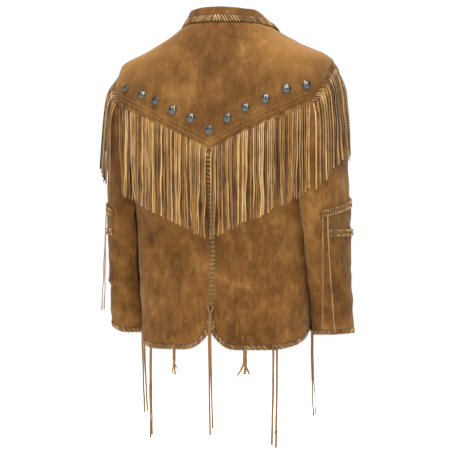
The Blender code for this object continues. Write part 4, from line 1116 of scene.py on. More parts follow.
sleeve_form = {}
sleeve_ground = {}
sleeve_cuts = {}
for side_name in SIDES:
    grid, normals = sleeve_grid(side_name)
    grid = sleeve_folded(side_name, grid, normals)
    sleeve_form[side_name] = (grid, normals)
    count = grid.shape[1]
    for part, (first, last) in SLEEVE_PIECES.items():
        order = np.arange(first * FINE, last * FINE + 1) % count
        piece = tucked(grid[:, order], normals[:, order], ("first", "last"))
        piece = drawn_in(piece, SEAM_GAP, ("first", "last"))
        sleeve_cuts[side_name, part] = piece
        made = cloth("sleeve_%s_cloth_%s" % (part, side_name), piece, normals[:, order], "suede")
        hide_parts("sleeve_%s_%s" % (part, side_name))
    sleeve_ground[side_name] = Ground(grid, closed=True)
    columns = np.linspace(*PATCH_COLUMNS, PATCH_GRID[1])
    share = (columns - columns[0]) / (columns[-1] - columns[0])
    top = CAP_ROWS + FINE * (PATCH_TOP[0] + (PATCH_TOP[1] - PATCH_TOP[0]) * share)
    rows = top[None] + (CAP_ROWS + 2 * FINE - top)[None] * np.linspace(0.0, 1.0, PATCH_GRID[0])[:, None]
    at = np.broadcast_to((columns[None] * FINE) % count, rows.shape)
    insert, insert_normals = (sample(form, rows, at) for form in whole_sleeve_form(side_name))
    insert_normals = unit(insert_normals)
    made = cloth("elbow_insert_" + side_name, insert + insert_normals * PATCH_LIFT, insert_normals,
                 "suede_dark", PATCH_CLOTH)
    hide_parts("elbow_" + side_name)
    back_form["elbow_" + side_name] = (insert, insert_normals)

# Collar

collar_points, collar_normals = collar_grid()
collar_points += collar_normals * (uneven(*(collar_points[..., a] for a in range(3))) * 0.7)[..., None]
collar_shown = collar_points + collar_normals * CLOTH / 2
made = cloth("collar_cloth", collar_shown, collar_normals, "suede_collar", inner="suede")
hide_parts("collar")
collar_ground = Ground(collar_shown)


# Lacing: thongs through punched holes along the edges and seams

LACE_WIDTH = 0.0024
LACE_RISE = 0.0016
LACE_PITCH = 0.0062
LACE_LEAN = 3
LACE_ENDS_IN = 0.0007
HOLE_RADIUS = 0.0017
WIDE_HOLE_RADIUS = 0.0019
SMALL_HOLE_RADIUS = 0.0014
# Width and height of the dark strip of painted shade laid between two lace strokes
SHADE_SLIT_SIZE = (0.0013, 0.0003)


def strip(parts, points, normals, width, rise, tone, slot=0):
    """A short soft thong laid over the given points, low at its edges and domed between."""
    points = np.asarray(points)
    normals = np.asarray(normals)
    ahead = unit(np.gradient(points, axis=0))
    across = unit(np.cross(ahead, normals))
    section = ((-0.50, -0.25), (-0.46, 0.30), (-0.22, 0.85), (0.22, 0.85), (0.46, 0.30), (0.50, -0.25))
    rings = np.stack([points + across * (u * width) + normals * (v * rise) for u, v in section], axis=1)
    parts.tube(rings, [slot] * len(section), tone)


def circle(centre, across, up, radius, count):
    """Points round a centre, or round each of many centres."""
    angles = np.linspace(0, 2 * math.pi, count + 1)[:-1]
    return [centre + (across * math.cos(a) + up * math.sin(a)) * radius for a in angles]


def punched(parts, place, normal, radius=HOLE_RADIUS):
    """A hole: a small sunken disc with its rim just over the cloth, dark as painted shade inside it."""
    across = unit(np.cross(normal, np.array((0.31, 0.17, 0.93))))
    up = np.cross(normal, across)
    rings = [circle(place + normal * rise, across, up, radius, 8) for rise in (-0.0002, 0.00028)]
    parts.fan(rings, place + normal * 0.00012)


def laid(seat, start, end, shares, base=0.0, bow=0.0):
    """Points and normals of a stroke that is seated on the cloth and bowed off it."""
    spots = [seat(start * (1 - share) + end * share) for share in shares]
    points = [at + way * (base + bow * math.sin(math.pi * share)) for (at, way), share in zip(spots, shares)]
    return points, [way for at, way in spots]


def edge_run(line, normals, inside):
    """One run of an edge: points, outward normals, and the way into the panel."""
    ahead = unit(np.gradient(line, axis=0))
    into = unit(np.cross(normals, ahead))
    into = np.where((np.einsum("ij,ij->i", into, inside - line))[:, None] < 0, -into, into)
    return np.concatenate((line, normals, into), axis=1)


def panel_edge(grid, normals, start=0, end=None):
    """The edge along a grid's first row."""
    return edge_run(grid[0, start:end], normals[0, start:end], grid[2, start:end])


def laced(parts, holes, ground, run, reach, seed, first=(LACE_LEAN,), shade_slit=0.6, pitch=LACE_PITCH, shade=0.58):
    """Strokes from a row of holes to the cloth's edge, with a dark strip of painted shade between two
    strokes; first gives the leans at the first hole.
    """
    steps = even_line(run, pitch / 2)
    last = len(steps) - 1
    for j in range(1, last, 2):
        row = steps[j]
        into = unit(row[6:9])
        hole, normal = ground.seat(row[:3] + into * reach, row[3:6])
        punched(holes, hole + into * 0.0009, normal)
        for lean in first if j == 1 else (LACE_LEAN,):
            end = steps[min(max(j + lean, 0), last)]
            out = unit(end[3:6])
            inward = unit(end[6:9])
            edge = end[:3] - inward * LACE_ENDS_IN
            points = []
            ways = []
            for share in (0.0, 0.22, 0.55, 0.88):
                at, way = ground.seat(hole * (1 - share) + edge * share, row[3:6])
                bow = LACE_RISE * 0.35 * math.sin(math.pi * min(share + 0.12, 1.0)) - 0.0004 * (share == 0.0)
                points.append(at + way * bow)
                ways.append(way)
            points += [edge + out * 0.0001, edge - out * (CLOTH * 0.9)]
            ways += [unit(out - inward * 1.2), unit(-inward - out * 0.3)]
            strip(parts, points, ways, LACE_WIDTH, LACE_RISE, shade + scatter(seed + j * 1.7 + lean, 0.36))
        # A dark strip in the hole finish from the next step toward the edge: painted shade between two
        # strokes.
        row = steps[j + 1]
        low = steps[min(j + 1 + LACE_LEAN, last)]
        top = row[:3] + unit(row[6:9]) * reach
        points, ways = laid(lambda at: ground.seat(at, row[3:6]), top, low[:3], np.linspace(0.1, shade_slit, 4))
        strip(holes, points, ways, *SHADE_SLIT_SIZE, 0.5)


def lace_pieces(name, parts, holes, finish="lace"):
    parts.piece(name, (finish,), 50)
    holes.piece(name + "_holes", ("hole",), 60)


HEM_REACH = 0.0098

hem_lace = Parts()
hem_holes = Parts()
front_seat = {}
for side_name, seed in (("left", 500), ("right", 600)):
    panel = back_ground[side_name]
    normals = back_form[side_name][1]
    rise_rows = int(np.argmax(panel[:, 0, 2] > VENT_TOP_Z + 0.004))
    vent = panel_edge(panel.swapaxes(0, 1), normals.swapaxes(0, 1), 1, rise_rows)
    corner = np.concatenate((vent[::-1], panel_edge(panel, normals)))
    blend = corner.copy()
    for k in range(2, len(corner) - 2):
        blend[k, 6:9] = unit(corner[k - 2:k + 3, 6:9].sum(axis=0))
    laced(hem_lace, hem_holes, Ground(panel), blend, HEM_REACH, seed)
    front = front_ground[side_name]
    outs = grid_normals(front)
    outs = np.where((outs[..., 1:2] > 0) & (np.abs(front[..., 0:1]) < 0.15), -outs, outs)
    if outs[5, 20, 1] > 0:
        outs = -outs
    front_seat[side_name] = Ground(front)
    laced(hem_lace, hem_holes, front_seat[side_name], panel_edge(front, outs), HEM_REACH, seed + 50)
lace_pieces("hem_lacing", hem_lace, hem_holes)

cuff_lace = Parts()
cuff_holes = Parts()
for side_name, side in SIDES.items():
    grid, normals = whole_sleeve_form(side_name)
    run = edge_run(grid[-1], normals[-1], grid[-3])
    laced(cuff_lace, cuff_holes, sleeve_ground[side_name], run, HEM_REACH, 700 + side)
lace_pieces("cuff_lacing", cuff_lace, cuff_holes)

# Collar: strokes lean outward on each half; they end at the leaf's front corners
COLLAR_REACH = 0.0125
collar_lace = Parts()
collar_holes = Parts()
middle_column = collar_shown.shape[1] // 2
for half in (np.s_[middle_column:], np.s_[middle_column::-1]):
    run = edge_run(collar_shown[-1, half], collar_normals[-1, half], collar_shown[-4, half])
    laced(collar_lace, collar_holes, collar_ground, run, COLLAR_REACH, 800, (LACE_LEAN, 1, -1),
          0.85, 0.0066, 0.84)
lace_pieces("collar_lacing", collar_lace, collar_holes)

# Centre-back seam: a soft band, thongs across it and two rows of holes, down to the vent
BAND_HALF = 0.0088
BAND_TOP_Z = -0.296
BAND_END_Z = -0.646
BAND_CROWN = (0.0019, 0.0026)
BAND_FULLER_Z = -0.520
BAND_PITCH = 0.0098
BAND_CLOTH = 0.0004
HOLE_OFFSET = 0.0050
SEAM_THONG = (0.0026, 0.0014)
FACING_BACK = np.array((0.0, 1.0, 0.0))

centre_ground = Ground(whole_back)


def on_back(x, z):
    """Place and outward normal on the back's cloth at (x, z)."""
    place, normal = back_ray(centre_ground.tree, x, z)
    normal = np.array(normal)
    return np.array(place), normal if normal[1] > 0 else -normal


band = []
for z in np.linspace(BAND_END_Z, BAND_TOP_Z, 141):
    crown = BAND_CROWN[0] + BAND_CROWN[1] * ease((z - BAND_FULLER_Z) / 0.03)
    row = []
    for u in np.linspace(-1.0, 1.0, 15):
        place, normal = on_back(u * BAND_HALF, z)
        height = crown * math.sqrt(max(1 - u * u, 0.0)) - 0.0009 * math.exp(-(u / 0.13) ** 2)
        row.append((place + normal * (BAND_CLOTH + height), normal))
    band.append(row)
band, band_normals = np.moveaxis(np.array(band), 2, 0)
cloth("centre_seam_band", band, band_normals, "suede_band", BAND_CLOTH)
band_ground = Ground(band)

seam_lace = Parts()
seam_holes = Parts()
for i in range(int((BAND_TOP_Z - BAND_END_Z) / BAND_PITCH)):
    z = BAND_TOP_Z - 0.005 - i * BAND_PITCH
    for side in (-1, 1):
        hole, normal = band_ground.seat(np.array((side * HOLE_OFFSET, 0.2, z)), FACING_BACK)
        hole, normal = band_ground.seat(np.array((side * HOLE_OFFSET, hole[1], z)), FACING_BACK)
        punched(seam_holes, hole + normal * 0.0001, normal, SMALL_HOLE_RADIUS)
        start = np.array((side * (HOLE_OFFSET - 0.0006), hole[1], z - 0.0012))
        end = np.array((side * (HOLE_OFFSET - 0.0048), hole[1], z - 0.0060))
        points, ways = laid(lambda at: band_ground.seat(at, FACING_BACK), start, end,
                            np.linspace(0.0, 1.0, 5), 0.0002, 0.0007)
        strip(seam_lace, points, ways, *SEAM_THONG, 0.55 + scatter(i * 2.3 + side, 0.22))
lace_pieces("centre_lacing", seam_lace, seam_holes, "lace_soft")

# Elbow bands: an upper and a lower band, each a soft strip whipped over with two rows of holes
ELBOW_BAND = 0.0165
ELBOW_BAND_OVER = 0.003
ELBOW_BAND_CLOTH = 0.0014
ELBOW_STROKE_PITCH = 0.0035
ELBOW_STROKE_OFF = (0.0024, 0.0078)
ELBOW_STROKE_SLANT = 0.0018
ELBOW_HOLE_OFF = 0.0036
elbow_lace = Parts()
elbow_holes = Parts()
elbow_bands = {}
for side_name in SIDES:
    insert, insert_normals = back_form["elbow_" + side_name]
    insert = insert + insert_normals * PATCH_LIFT
    for which, edge, inner in (("top", 0, 3), ("bottom", -1, -4)):
        run = edge_run(insert[edge], insert_normals[edge], insert[inner])
        run[:, :3] -= run[:, 6:9] * ELBOW_BAND_OVER
        rows = []
        for u in np.linspace(0.0, 1.0, 9):
            bulge = 0.0011 * math.sin(math.pi * min(max(u, 0.06), 0.94))
            rows.append([outside_sleeve(side_name, at, 0.0020 + bulge)
                         for at in run[:, :3] + run[:, 6:9] * ELBOW_BAND * u])
        rows, outs_rows = np.moveaxis(np.array(rows), 2, 0)
        name = "elbow_band_%s_%s" % (which, side_name)
        cloth(name, rows, outs_rows, "suede_band", ELBOW_BAND_CLOTH)
        elbow_bands[name] = rows
        band_top = Ground(rows)
        steps = even_line(np.concatenate((rows[4], outs_rows[4], run[:, 6:9]), axis=1), ELBOW_STROKE_PITCH)
        for j in range(1, len(steps) - 1):
            middle = steps[j, :3]
            outs = unit(steps[j, 3:6])
            into = unit(steps[j, 6:9])
            ahead = unit(steps[j + 1, :3] - middle)
            for away in (-1, 1):
                if j % 2:
                    hole, normal = band_top.seat(middle + into * away * ELBOW_HOLE_OFF, outs)
                    punched(elbow_holes, hole, normal, WIDE_HOLE_RADIUS)
                    continue
                start = middle + into * away * ELBOW_STROKE_OFF[0]
                end = middle + into * away * ELBOW_STROKE_OFF[1] + ahead * ELBOW_STROKE_SLANT
                points, ways = laid(lambda at: band_top.seat(at, outs), start, end, (0.0, 0.35, 0.7, 1.0),
                                    0.0002, 0.0006)
                strip(elbow_lace, points, ways, LACE_WIDTH, LACE_RISE, 0.74 + scatter(j * 1.9 + away, 0.25))
lace_pieces("elbow_lacing", elbow_lace, elbow_holes)

# Yoke: two rows of thread stitches above its edge, closer than the discs
STITCH_ROWS = (0.0065, 0.0165)
STITCH_PITCH = 0.0064
STITCH_SIZE = (0.0014, 0.0008)
yoke_ground = Ground(yoke_top)
stitches = Parts()
for r, above in enumerate(STITCH_ROWS):
    line = []
    for row in panel_edge(yoke_top, yoke_normals)[3:-3]:
        place, normal = yoke_ground.seat(row[:3] + np.array((0.0, 0.0, above / 0.9)), row[3:6])
        line.append(np.concatenate((place, normal)))
    steps = even_line(line, STITCH_PITCH)
    for j, (here, there) in enumerate(zip(steps[:-1, :3], steps[1:, :3])):
        near = 0.30 + scatter(j * 1.3 + r, 0.12)
        far = near + 0.34 + scatter(j * 2.9 + r, 0.08)
        points, ways = laid(lambda at: yoke_ground.seat(at, steps[j, 3:6]), here * (1 - near) + there * near,
                            here * (1 - far) + there * far, (0.0, 0.3, 0.7, 1.0), 0.0001, 0.00025)
        strip(stitches, points, ways, *STITCH_SIZE, 0.5 + scatter(j * 3.1 + r, 0.4))
stitches.piece("yoke_stitching", ("thread",), 50)

# Armhole: the header is whipped to the seam with slanted strokes, from the yoke's end to the shoulder
ARM_LACE_REACH = 0.0105
ARM_LACE_PITCH = 0.0066
ARM_LACE_RISE = 0.0018
ARM_SPAN = (-2 * FINE, 3 * FINE)
arm_lace = Parts()
arm_holes = Parts()
for side_name in SIDES:
    grid, normals = whole_sleeve_form(side_name)
    columns = np.arange(ARM_SPAN[0], ARM_SPAN[1] + 1) % (grid.shape[1] - 1)
    run = edge_run(grid[1, columns] + normals[1, columns] * 0.0016, normals[1, columns], grid[5, columns])
    steps = even_line(run, ARM_LACE_PITCH / 2)
    for j in range(1, len(steps) - 2, 2):
        into = unit(steps[j, 6:9])
        outs = unit(steps[j, 3:6])
        hole, normal = outside_sleeve(side_name, steps[j, :3] + into * ARM_LACE_REACH, 0.0017)
        punched(arm_holes, hole + into * 0.0008, normal, WIDE_HOLE_RADIUS)
        high = steps[j + 2, :3]
        points, ways = laid(lambda at: outside_sleeve(side_name, at, 0.0018), hole, high,
                            (0.0, 0.3, 0.65, 1.0), 0.0, 0.0005)
        points.append(high - into * 0.0012 + outs * 0.0002)
        ways.append(unit(outs - into * 0.7))
        strip(arm_lace, points, ways, LACE_WIDTH, ARM_LACE_RISE, 0.45 + scatter(j * 2.7, 0.3))
lace_pieces("armhole_lacing", arm_lace, arm_holes)

# Armhole seams: a rolled seam allowance under each, which closes the joint from inside
WELT_RADIUS = 0.0018
WELT_DEPTH = 0.0022
for side_name in SIDES:
    grid, normals = whole_sleeve_form(side_name)
    ahead = unit(np.roll(grid[0, :-1], -1, axis=0) - np.roll(grid[0, :-1], 1, axis=0))
    ahead = np.concatenate((ahead, ahead[:1]))
    out = unit(normals[0] - ahead * np.einsum("ij,ij->i", normals[0], ahead)[:, None])
    parts = Parts()
    parts.tube(np.stack(circle(grid[0] - normals[0] * WELT_DEPTH, out, np.cross(ahead, out),
                               WELT_RADIUS, 8), axis=1))
    parts.piece("armhole_welt_" + side_name, ("inner",), 60)

# Cross seams on the sleeves' backs, above the elbow's lower edge: height, first and last column
CROSS_SEAMS = {"left": (-0.4430, -1.0, 9.5), "right": (-0.4590, 2.4, 8.0)}
CROSS_SEAM_SIZE = (0.0011, 0.0005)
for side_name, (z, first, last) in CROSS_SEAMS.items():
    grid = sleeve_form[side_name][0]
    row = grid[int(np.argmin(np.abs(grid[:, 24, 2] - z)))]
    columns = np.arange(int(first * FINE), int(last * FINE)) % grid.shape[1]
    line = [outside_sleeve(side_name, at + np.array((0.0, 0.0, z - at[2])), -0.0002) for at in row[columns]]
    parts = Parts()
    strip(parts, *np.moveaxis(np.array(line), 1, 0), *CROSS_SEAM_SIZE, 0.3)
    parts.piece("sleeve_cross_seam_" + side_name, ("seam",), 60)


# Fringes


def facing_quads(grid, normals):
    """A grid's quads, wound so that they face the way its normals do."""
    quads = grid_faces(*grid.shape[:2])
    points = grid.reshape(-1, 3)
    outs = normals.reshape(-1, 3)
    a, b, c = (points[quads[:, i]] for i in (0, 1, 3))
    wrong = np.einsum("ij,ij->i", np.cross(b - a, c - a), outs[quads[:, 0]]) < 0
    return np.where(wrong[:, None], quads[:, ::-1], quads)


class Outside:
    """Body and sleeve cloth together, whose quads all face outward, for what hangs on them."""

    def __init__(self, forms):
        verts = []
        faces = []
        for grid, normals in forms:
            start = len(verts)
            verts.extend(grid.reshape(-1, 3).tolist())
            faces.extend((facing_quads(grid, normals) + start).tolist())
        self.tree = BVHTree.FromPolygons(verts, faces)

    def kept_off(self, point, clearance):
        """The point, moved out along the cloth's normal where it is nearer than the clearance."""
        place, normal = self.tree.find_nearest(Vector(point))[:2]
        place = np.array(place)
        normal = np.array(normal)
        height = float(np.dot(point - place, normal))
        if height < clearance:
            point = point + normal * (clearance - height)
        return point, normal

    def back_y(self, x, z):
        """How far back the cloth reaches at (x, z), or None beside it."""
        place = back_ray(self.tree, x, z)[0]
        return place[1] if place is not None else None


outside = Outside([back_form[s] for s in SIDES] + [whole_sleeve_form(s) for s in SIDES]
                  + [(band, band_normals)])

RIBBON_SIDES = (1, 1, 0, 1, 1, 1, 0, 1)


def ribbon(parts, path, across, out, width, thickness, twist, tone):
    """A cut leather strand: flat faces, bevelled cut edges, turned by the twist at each station."""
    cut = thickness * 0.28
    half = width / 2
    edge = thickness / 2
    section = ((-half, -edge + cut), (-half, edge - cut), (-half + cut, edge), (half - cut, edge),
               (half, edge - cut), (half, -edge + cut), (half - cut, -edge), (-half + cut, -edge))
    turn = np.asarray(twist)[:, None]
    wide = across * np.cos(turn) + out * np.sin(turn)
    thick = out * np.cos(turn) - across * np.sin(turn)
    rings = np.stack([path + wide * u + thick * v for u, v in section], axis=1)
    parts.tube(rings, RIBBON_SIDES, tone)


def hang_noise(i, seed, reach, span):
    """Wander that neighbours share, so that strands gather into loose bunches."""
    at = i / span + seed * 7.31
    low = math.floor(at)
    f = ease(at - low)
    return reach * (scatter(low * 3.7 + seed) * (1 - f) + scatter((low + 1) * 3.7 + seed) * f)


STRAND_STATIONS = 25
STRAND = (0.0034, 0.0013)
STRAND_SHARES = np.linspace(0.0, 1.0, STRAND_STATIONS)
BACK_STRANDS = 98
BACK_LAYERS = (0.0000, 0.0028, 0.0012, 0.0042, 0.0006, 0.0034)
BACK_FRINGE_LENGTH = 0.207
HEADER_MIDDLE = 0.0062
HEADER_END = 0.0105
HEADER_BASE = 0.0004
HEADER_CLOTH = 0.0010
# Low tone of the header strips the strands hang from: painted shade at the tops of the strands.
HEADER_SHADE_TONE = 0.2
FRINGE_HALF = 0.2275
PARTING = 0.0035


def strand_width(seed):
    return STRAND[0] * (1 + scatter(seed + 43.0, 0.12))


def strand_turn(seed):
    """How a strand turns about itself on its way down, and a share that varies its waves."""
    s = STRAND_SHARES
    lively = abs(scatter(seed + 37.0))
    turn = scatter(seed + 31.0, 0.65) * ease(s / 0.16)
    return turn + scatter(seed + 41.0, 0.9 + 0.8 * (lively > 0.6)) * ease((s - 0.2) / 0.8) * s, lively


def add_header(parts, header, normals):
    """The strip that the strands are cut from, as a thin closed wall, toned dark as painted shade at the
    strands' tops.
    """
    rows, columns = header.shape[:2]
    below = rows * columns
    verts = np.concatenate((header.reshape(-1, 3), (header - normals * HEADER_CLOTH).reshape(-1, 3)))
    quads = facing_quads(header, normals)
    rims = rim_faces(rows, columns, below)
    parts.verts.extend(verts.tolist())
    parts.tones.extend([HEADER_SHADE_TONE] * len(verts))
    parts.faces.extend([tuple(q) for q in np.concatenate((quads, quads[:, ::-1] + below, rims))])
    parts.slots.extend([0] * (2 * len(quads)) + [1] * len(rims))


def fringe_piece(name, parts, node):
    made = parts.piece(name, ("fringe", "fringe_edge_and_shade"), 30)
    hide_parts(node)


def yoke_line_z(x):
    """Height of the yoke's lower edge over the back, read from the yoke's own first row."""
    row = whole_back[YOKE_ROW]
    return np.interp(x, row[:, 0], row[:, 2])


def back_fringe():
    """Header strip under the yoke's edge with its cut strands, hung one by one."""
    parts = Parts()
    row = whole_back[YOKE_ROW]
    reach = min(FRINGE_HALF, float(row[-1, 0]) - 0.001)
    xs = np.linspace(-reach, reach, BACK_STRANDS * 2 + 1)
    tops = yoke_line_z(xs) + 0.004
    line_y = np.interp(xs, row[:, 0], row[:, 1])
    share = np.abs(xs) / reach
    depth = HEADER_MIDDLE + (HEADER_END - HEADER_MIDDLE) * share ** 0.8
    grid = []
    for part in np.linspace(0.0, 1.0, 5):
        zs = tops - (depth + 0.004) * part
        seats = [outside.kept_off(np.array((x, max(outside.back_y(x, z) or y, y - 0.010) - 0.002, z)), 0.0)
                 for x, y, z in zip(xs, line_y, zs)]
        grid.append([point + normal * (HEADER_BASE + HEADER_CLOTH) for point, normal in seats])
    grid = np.array(grid)
    normals = grid_normals(grid)
    if normals[2, len(xs) // 2, 1] < 0:
        normals = -normals
    add_header(parts, grid, normals)
    s = STRAND_SHARES
    pitch = 2 * reach / BACK_STRANDS
    for i in range(BACK_STRANDS):
        x0 = -reach + (i + 0.5) * pitch
        if abs(x0) < PARTING:
            continue
        root = grid[-1, 2 * i + 1]
        z0 = root[2] + 0.0035
        length = BACK_FRINGE_LENGTH - (float(yoke_line_z(x0)) - z0) + scatter(i + 0.3, 0.0035)
        outer = abs(x0) / reach
        length += 0.004 * max(0.0, 1 - abs(outer - 0.55) / 0.45) - 0.010 * max(0.0, outer - 0.93) / 0.07
        layer = BACK_LAYERS[i % 6]
        bunch = hang_noise(i, 1.0, 0.0058, 4.3) + scatter(i + 11.0, 0.0016)
        if abs(x0) < 3 * PARTING:
            bunch = math.copysign(0.25 * abs(bunch), x0)
        kink = scatter(i + 23.0, 0.0021)
        waves = 1.3 + abs(scatter(i + 5.0, 1.4))
        phase = scatter(i + 8.0, math.pi)
        sway = kink * (np.sin(waves * 2 * math.pi * s + phase) - math.sin(phase)) * s
        x = x0 + bunch * ease(s * 1.05) * s + sway
        z = z0 - length * s
        turn, lively = strand_turn(i)
        turn = turn + 0.16 * np.sin(2 * math.pi * (s * 2.2 + lively)) * s
        width = strand_width(i)
        lifts = 0.0005 + layer * ease(s / 0.15) + np.abs(np.sin(turn)) * width / 2 + STRAND[1] / 2
        y = [root[1] - 0.0006]
        for k in range(1, STRAND_STATIONS):
            ground = outside.back_y(x[k], z[k])
            y.append(y[-1] if ground is None else max(y[-1], ground + lifts[k]))
        y = np.array(y) + 0.0006 * np.sin(2 * math.pi * (s * 1.7 + lively)) * s
        path = np.stack((x, y, z), 1)
        path[-1, 2] += scatter(i + 47.0, 0.0006)
        slant = (grid[-1, 2 * i + 2, 1] - grid[-1, 2 * i, 1]) * (1 - ease(s / 0.3))
        across = unit(np.stack((np.full_like(s, pitch), slant, np.zeros_like(s)), 1))
        out = unit(np.cross(across, np.array((0.0, 0.0, -1.0))))
        if out[0, 1] < 0:
            out = -out
        width = min(width, pitch * 0.97)
        ribbon(parts, path, across, out, width, STRAND[1], turn, 0.5 + scatter(i + 53.0, 0.50))
    fringe_piece("back_fringe_strands", parts, "fringe_back")


back_fringe()

ARM_STRANDS = 46
ARM_HEADER_ROWS = (0.9, 7.4)
ARM_LAYERS = (0.0000, 0.0026, 0.0012, 0.0040, 0.0006, 0.0032)
ARM_LENGTH = 0.196
ARM_FLARE = {"left": 0.12, "right": 0.0}
ARM_BEND = 0.55


def arm_fringe(side_name):
    """Header over the armhole seam, and strands that fall from it over the sleeve's cap."""
    side = SIDES[side_name]
    grid, normals = whole_sleeve_form(side_name)
    count = grid.shape[1] - 1
    columns = np.linspace(ARM_SPAN[0], ARM_SPAN[1], ARM_STRANDS * 2 + 1)
    rows = np.linspace(ARM_HEADER_ROWS[0], ARM_HEADER_ROWS[1], 5)
    at = np.broadcast_to((columns % count)[None], (5, len(columns)))
    row_at = np.broadcast_to(rows[:, None], at.shape)
    header_normals = unit(sample(normals, row_at, at))
    header = sample(grid, row_at, at) + header_normals * (HEADER_BASE + HEADER_CLOTH)
    parts = Parts()
    add_header(parts, header, header_normals)
    s = STRAND_SHARES
    first_seed = 200 if side > 0 else 300
    step = ARM_LENGTH / (STRAND_STATIONS - 1)
    for i in range(ARM_STRANDS):
        point = header[-2, 2 * i + 1] * 0.4 + header[-1, 2 * i + 1] * 0.6
        heading = unit(header[-1, 2 * i + 1] - header[-2, 2 * i + 1])
        wide = header[-1, 2 * i + 2] - header[-1, 2 * i]
        pitch = float(np.linalg.norm(wide))
        seed = i + first_seed
        drift = hang_noise(i, first_seed, 0.0060, 3.6) + scatter(seed + 11.0, 0.0018)
        length = ARM_LENGTH * (1 + scatter(seed + 0.5, 0.018))
        width = min(strand_width(seed), max(pitch * 0.97, 0.0036))
        turn = strand_turn(seed)[0]
        lifts = 0.0004 + ARM_LAYERS[i % 6] * ease(s / 0.15) + np.abs(np.sin(turn)) * width / 2 + STRAND[1] / 2
        path = []
        outs = []
        out = header_normals[-1, 2 * i + 1]
        flare = ARM_FLARE[side_name] * ease((out[0] * side - 0.2) / 0.6)
        for k in range(STRAND_STATIONS):
            held, normal = outside.kept_off(point, lifts[k] if k else 0.0)
            path.append(held)
            out = unit(out * 0.7 + normal * 0.3)
            outs.append(out)
            sway = unit(wide) * drift * (1.2 / STRAND_STATIONS) / step * s[k]
            pull = np.array((side * flare * (1 - 0.6 * s[k]), 0.0, -1.0))
            heading = unit(heading * ARM_BEND + unit(pull + sway) * (1 - ARM_BEND))
            if k:
                heading = unit(heading * 0.75 + unit(path[-1] - path[-2]) * 0.25)
            point = held + heading * step * length / ARM_LENGTH
        path = np.array(path)
        outs = np.array(outs)
        ahead = unit(np.gradient(path, axis=0))
        across = unit(np.cross(ahead, outs))
        across = np.where((across @ wide)[:, None] < 0, -across, across)
        outs = unit(np.cross(across, ahead))
        outs = np.where((outs @ out)[:, None] < 0, -outs, outs)
        ribbon(parts, path, across, outs, width, STRAND[1], turn, 0.5 + scatter(seed + 53.0, 0.50))
    fringe_piece("arm_fringe_strands_" + side_name, parts, "fringe_arm_" + side_name)


for side_name in SIDES:
    arm_fringe(side_name)


# Ties and tassels: thongs that hang from the laced edges

UP = np.array((0.0, 0.0, 1.0))
THONG = (0.0042, 0.0016)
THONG_STATIONS = 30
HEM_TIES = {
    "left": (0.150, (-0.945, -0.938), (0.001, 0.003)),
    "right": (-0.143, (-0.955, -0.962), (-0.004, -0.003)),
}
HEM_TASSELS = {
    "left": (0.084, (-0.797, -0.799, -0.790), (-0.004, 0.001, 0.015)),
    "right": (-0.082, (-0.799, -0.796, -0.795), (-0.017, -0.003, 0.012)),
}
HEM_TIE_GAPS = {"left": 0.0040, "right": 0.0086}
HEM_TIE_WIDTH = 0.0050
TASSEL_WIDTHS = {"left": 0.0040, "right": 0.0058}
TASSEL_HEAD = 0.022
VENT_TIE_ENDS = ((-0.935, 0.003), (-0.919, 0.006))
VENT_TIE_WIDTH = 0.0044
CUFF_TIE_PLACE = 5.55
CUFF_TIE_ENDS = ((-0.894, -0.891), (0.005, 0.008))
CUFF_TIE_GAP = 0.0044
ELBOW_TIE_PLACES = {"left": 0.75, "right": 2.0}
ELBOW_TIE_GAPS = {"left": 0.0063, "right": 0.0126}
ELBOW_TIE_DROPS = {"left": (0.214, 0.211), "right": (0.246, 0.252)}
ELBOW_TIE_DRIFTS = {"left": (-0.0095, -0.0035), "right": (-0.001, 0.016)}
ELBOW_TIE_WIDTH = 0.0036
ELBOW_TIE_TOP = (0.0038, 0.003)
ELBOW_TIE_START = (0.0048, -0.006)
ELBOW_BAR_SIZE = (0.0028, 0.0013)
TIE_HEAD = 0.012
TIE_HEAD_OUT = 0.0019
TIE_FREE_OUT = 0.0022
TIE_LOOP = (0.0105, 0.0040)
LOOP_SIZE = (0.0024, 0.0010)
HEM_KNOT_PLACE = (0.0028, 0.0, -0.186)
HEM_KNOT_RADIUS = 0.0034
TASSEL_KNOT_RADIUS = 0.0040
VENT_KNOT_RADIUS = 0.0030
KNOT_THONG = 0.00135
KNOT_TONE = 0.45


def level_across(out):
    return unit(np.cross(UP, out))


def free_thong(parts, start, end_z, drift, out, seed, width, head, follow=None, turns=1.0):
    """A thong that leaves its head and hangs to its free end with slight waves."""
    s = np.linspace(0.0, 1.0, THONG_STATIONS)
    wave = 0.0007 * np.sin(2 * math.pi * (2.1 * s + scatter(seed, 1.0))) * s * (1.2 - s)
    side_wave = 0.0005 * np.sin(2 * math.pi * (3.3 * s + scatter(seed + 2, 1.0))) * s
    path = np.stack((start[0] - drift * s ** 1.5 + wave, np.full_like(s, start[1]),
                     start[2] + (end_z - start[2]) * s), 1)
    path = path + out[None] * (0.0010 * ease(s / 0.3) + side_wave)[:, None]
    if follow is not None:
        for k in range(1, len(path)):
            path[k, 1] = follow(path[k], path[k - 1])
    sway = 0.35 * np.sin(2 * math.pi * s * 1.6) * s
    turn = scatter(seed + 5, 0.3) + turns * (scatter(seed + 7, 0.9) * s + sway)
    path = np.concatenate((head, path))
    turn = np.concatenate((np.zeros(len(head)), turn * ease(s / 0.2)))
    wide = np.repeat(level_across(out)[None], len(path), axis=0)
    outs = np.repeat(out[None], len(path), axis=0)
    ribbon(parts, path, wide, outs, width, THONG[1], turn, 0.5 + scatter(seed + 9, 0.35))


def tie_pair(parts, top, start, gap, ends, drifts, out, seed, width):
    """Two thongs side by side, each with a flat head from its top to where it hangs free."""
    for i, (end, drift) in enumerate(zip(ends, drifts)):
        offset = level_across(out) * (i - 0.5) * gap
        head = [top + offset + (start - top) * share for share in (0.0, 0.33, 0.66)]
        free_thong(parts, start + offset, end, drift, out, seed + i, width, head)


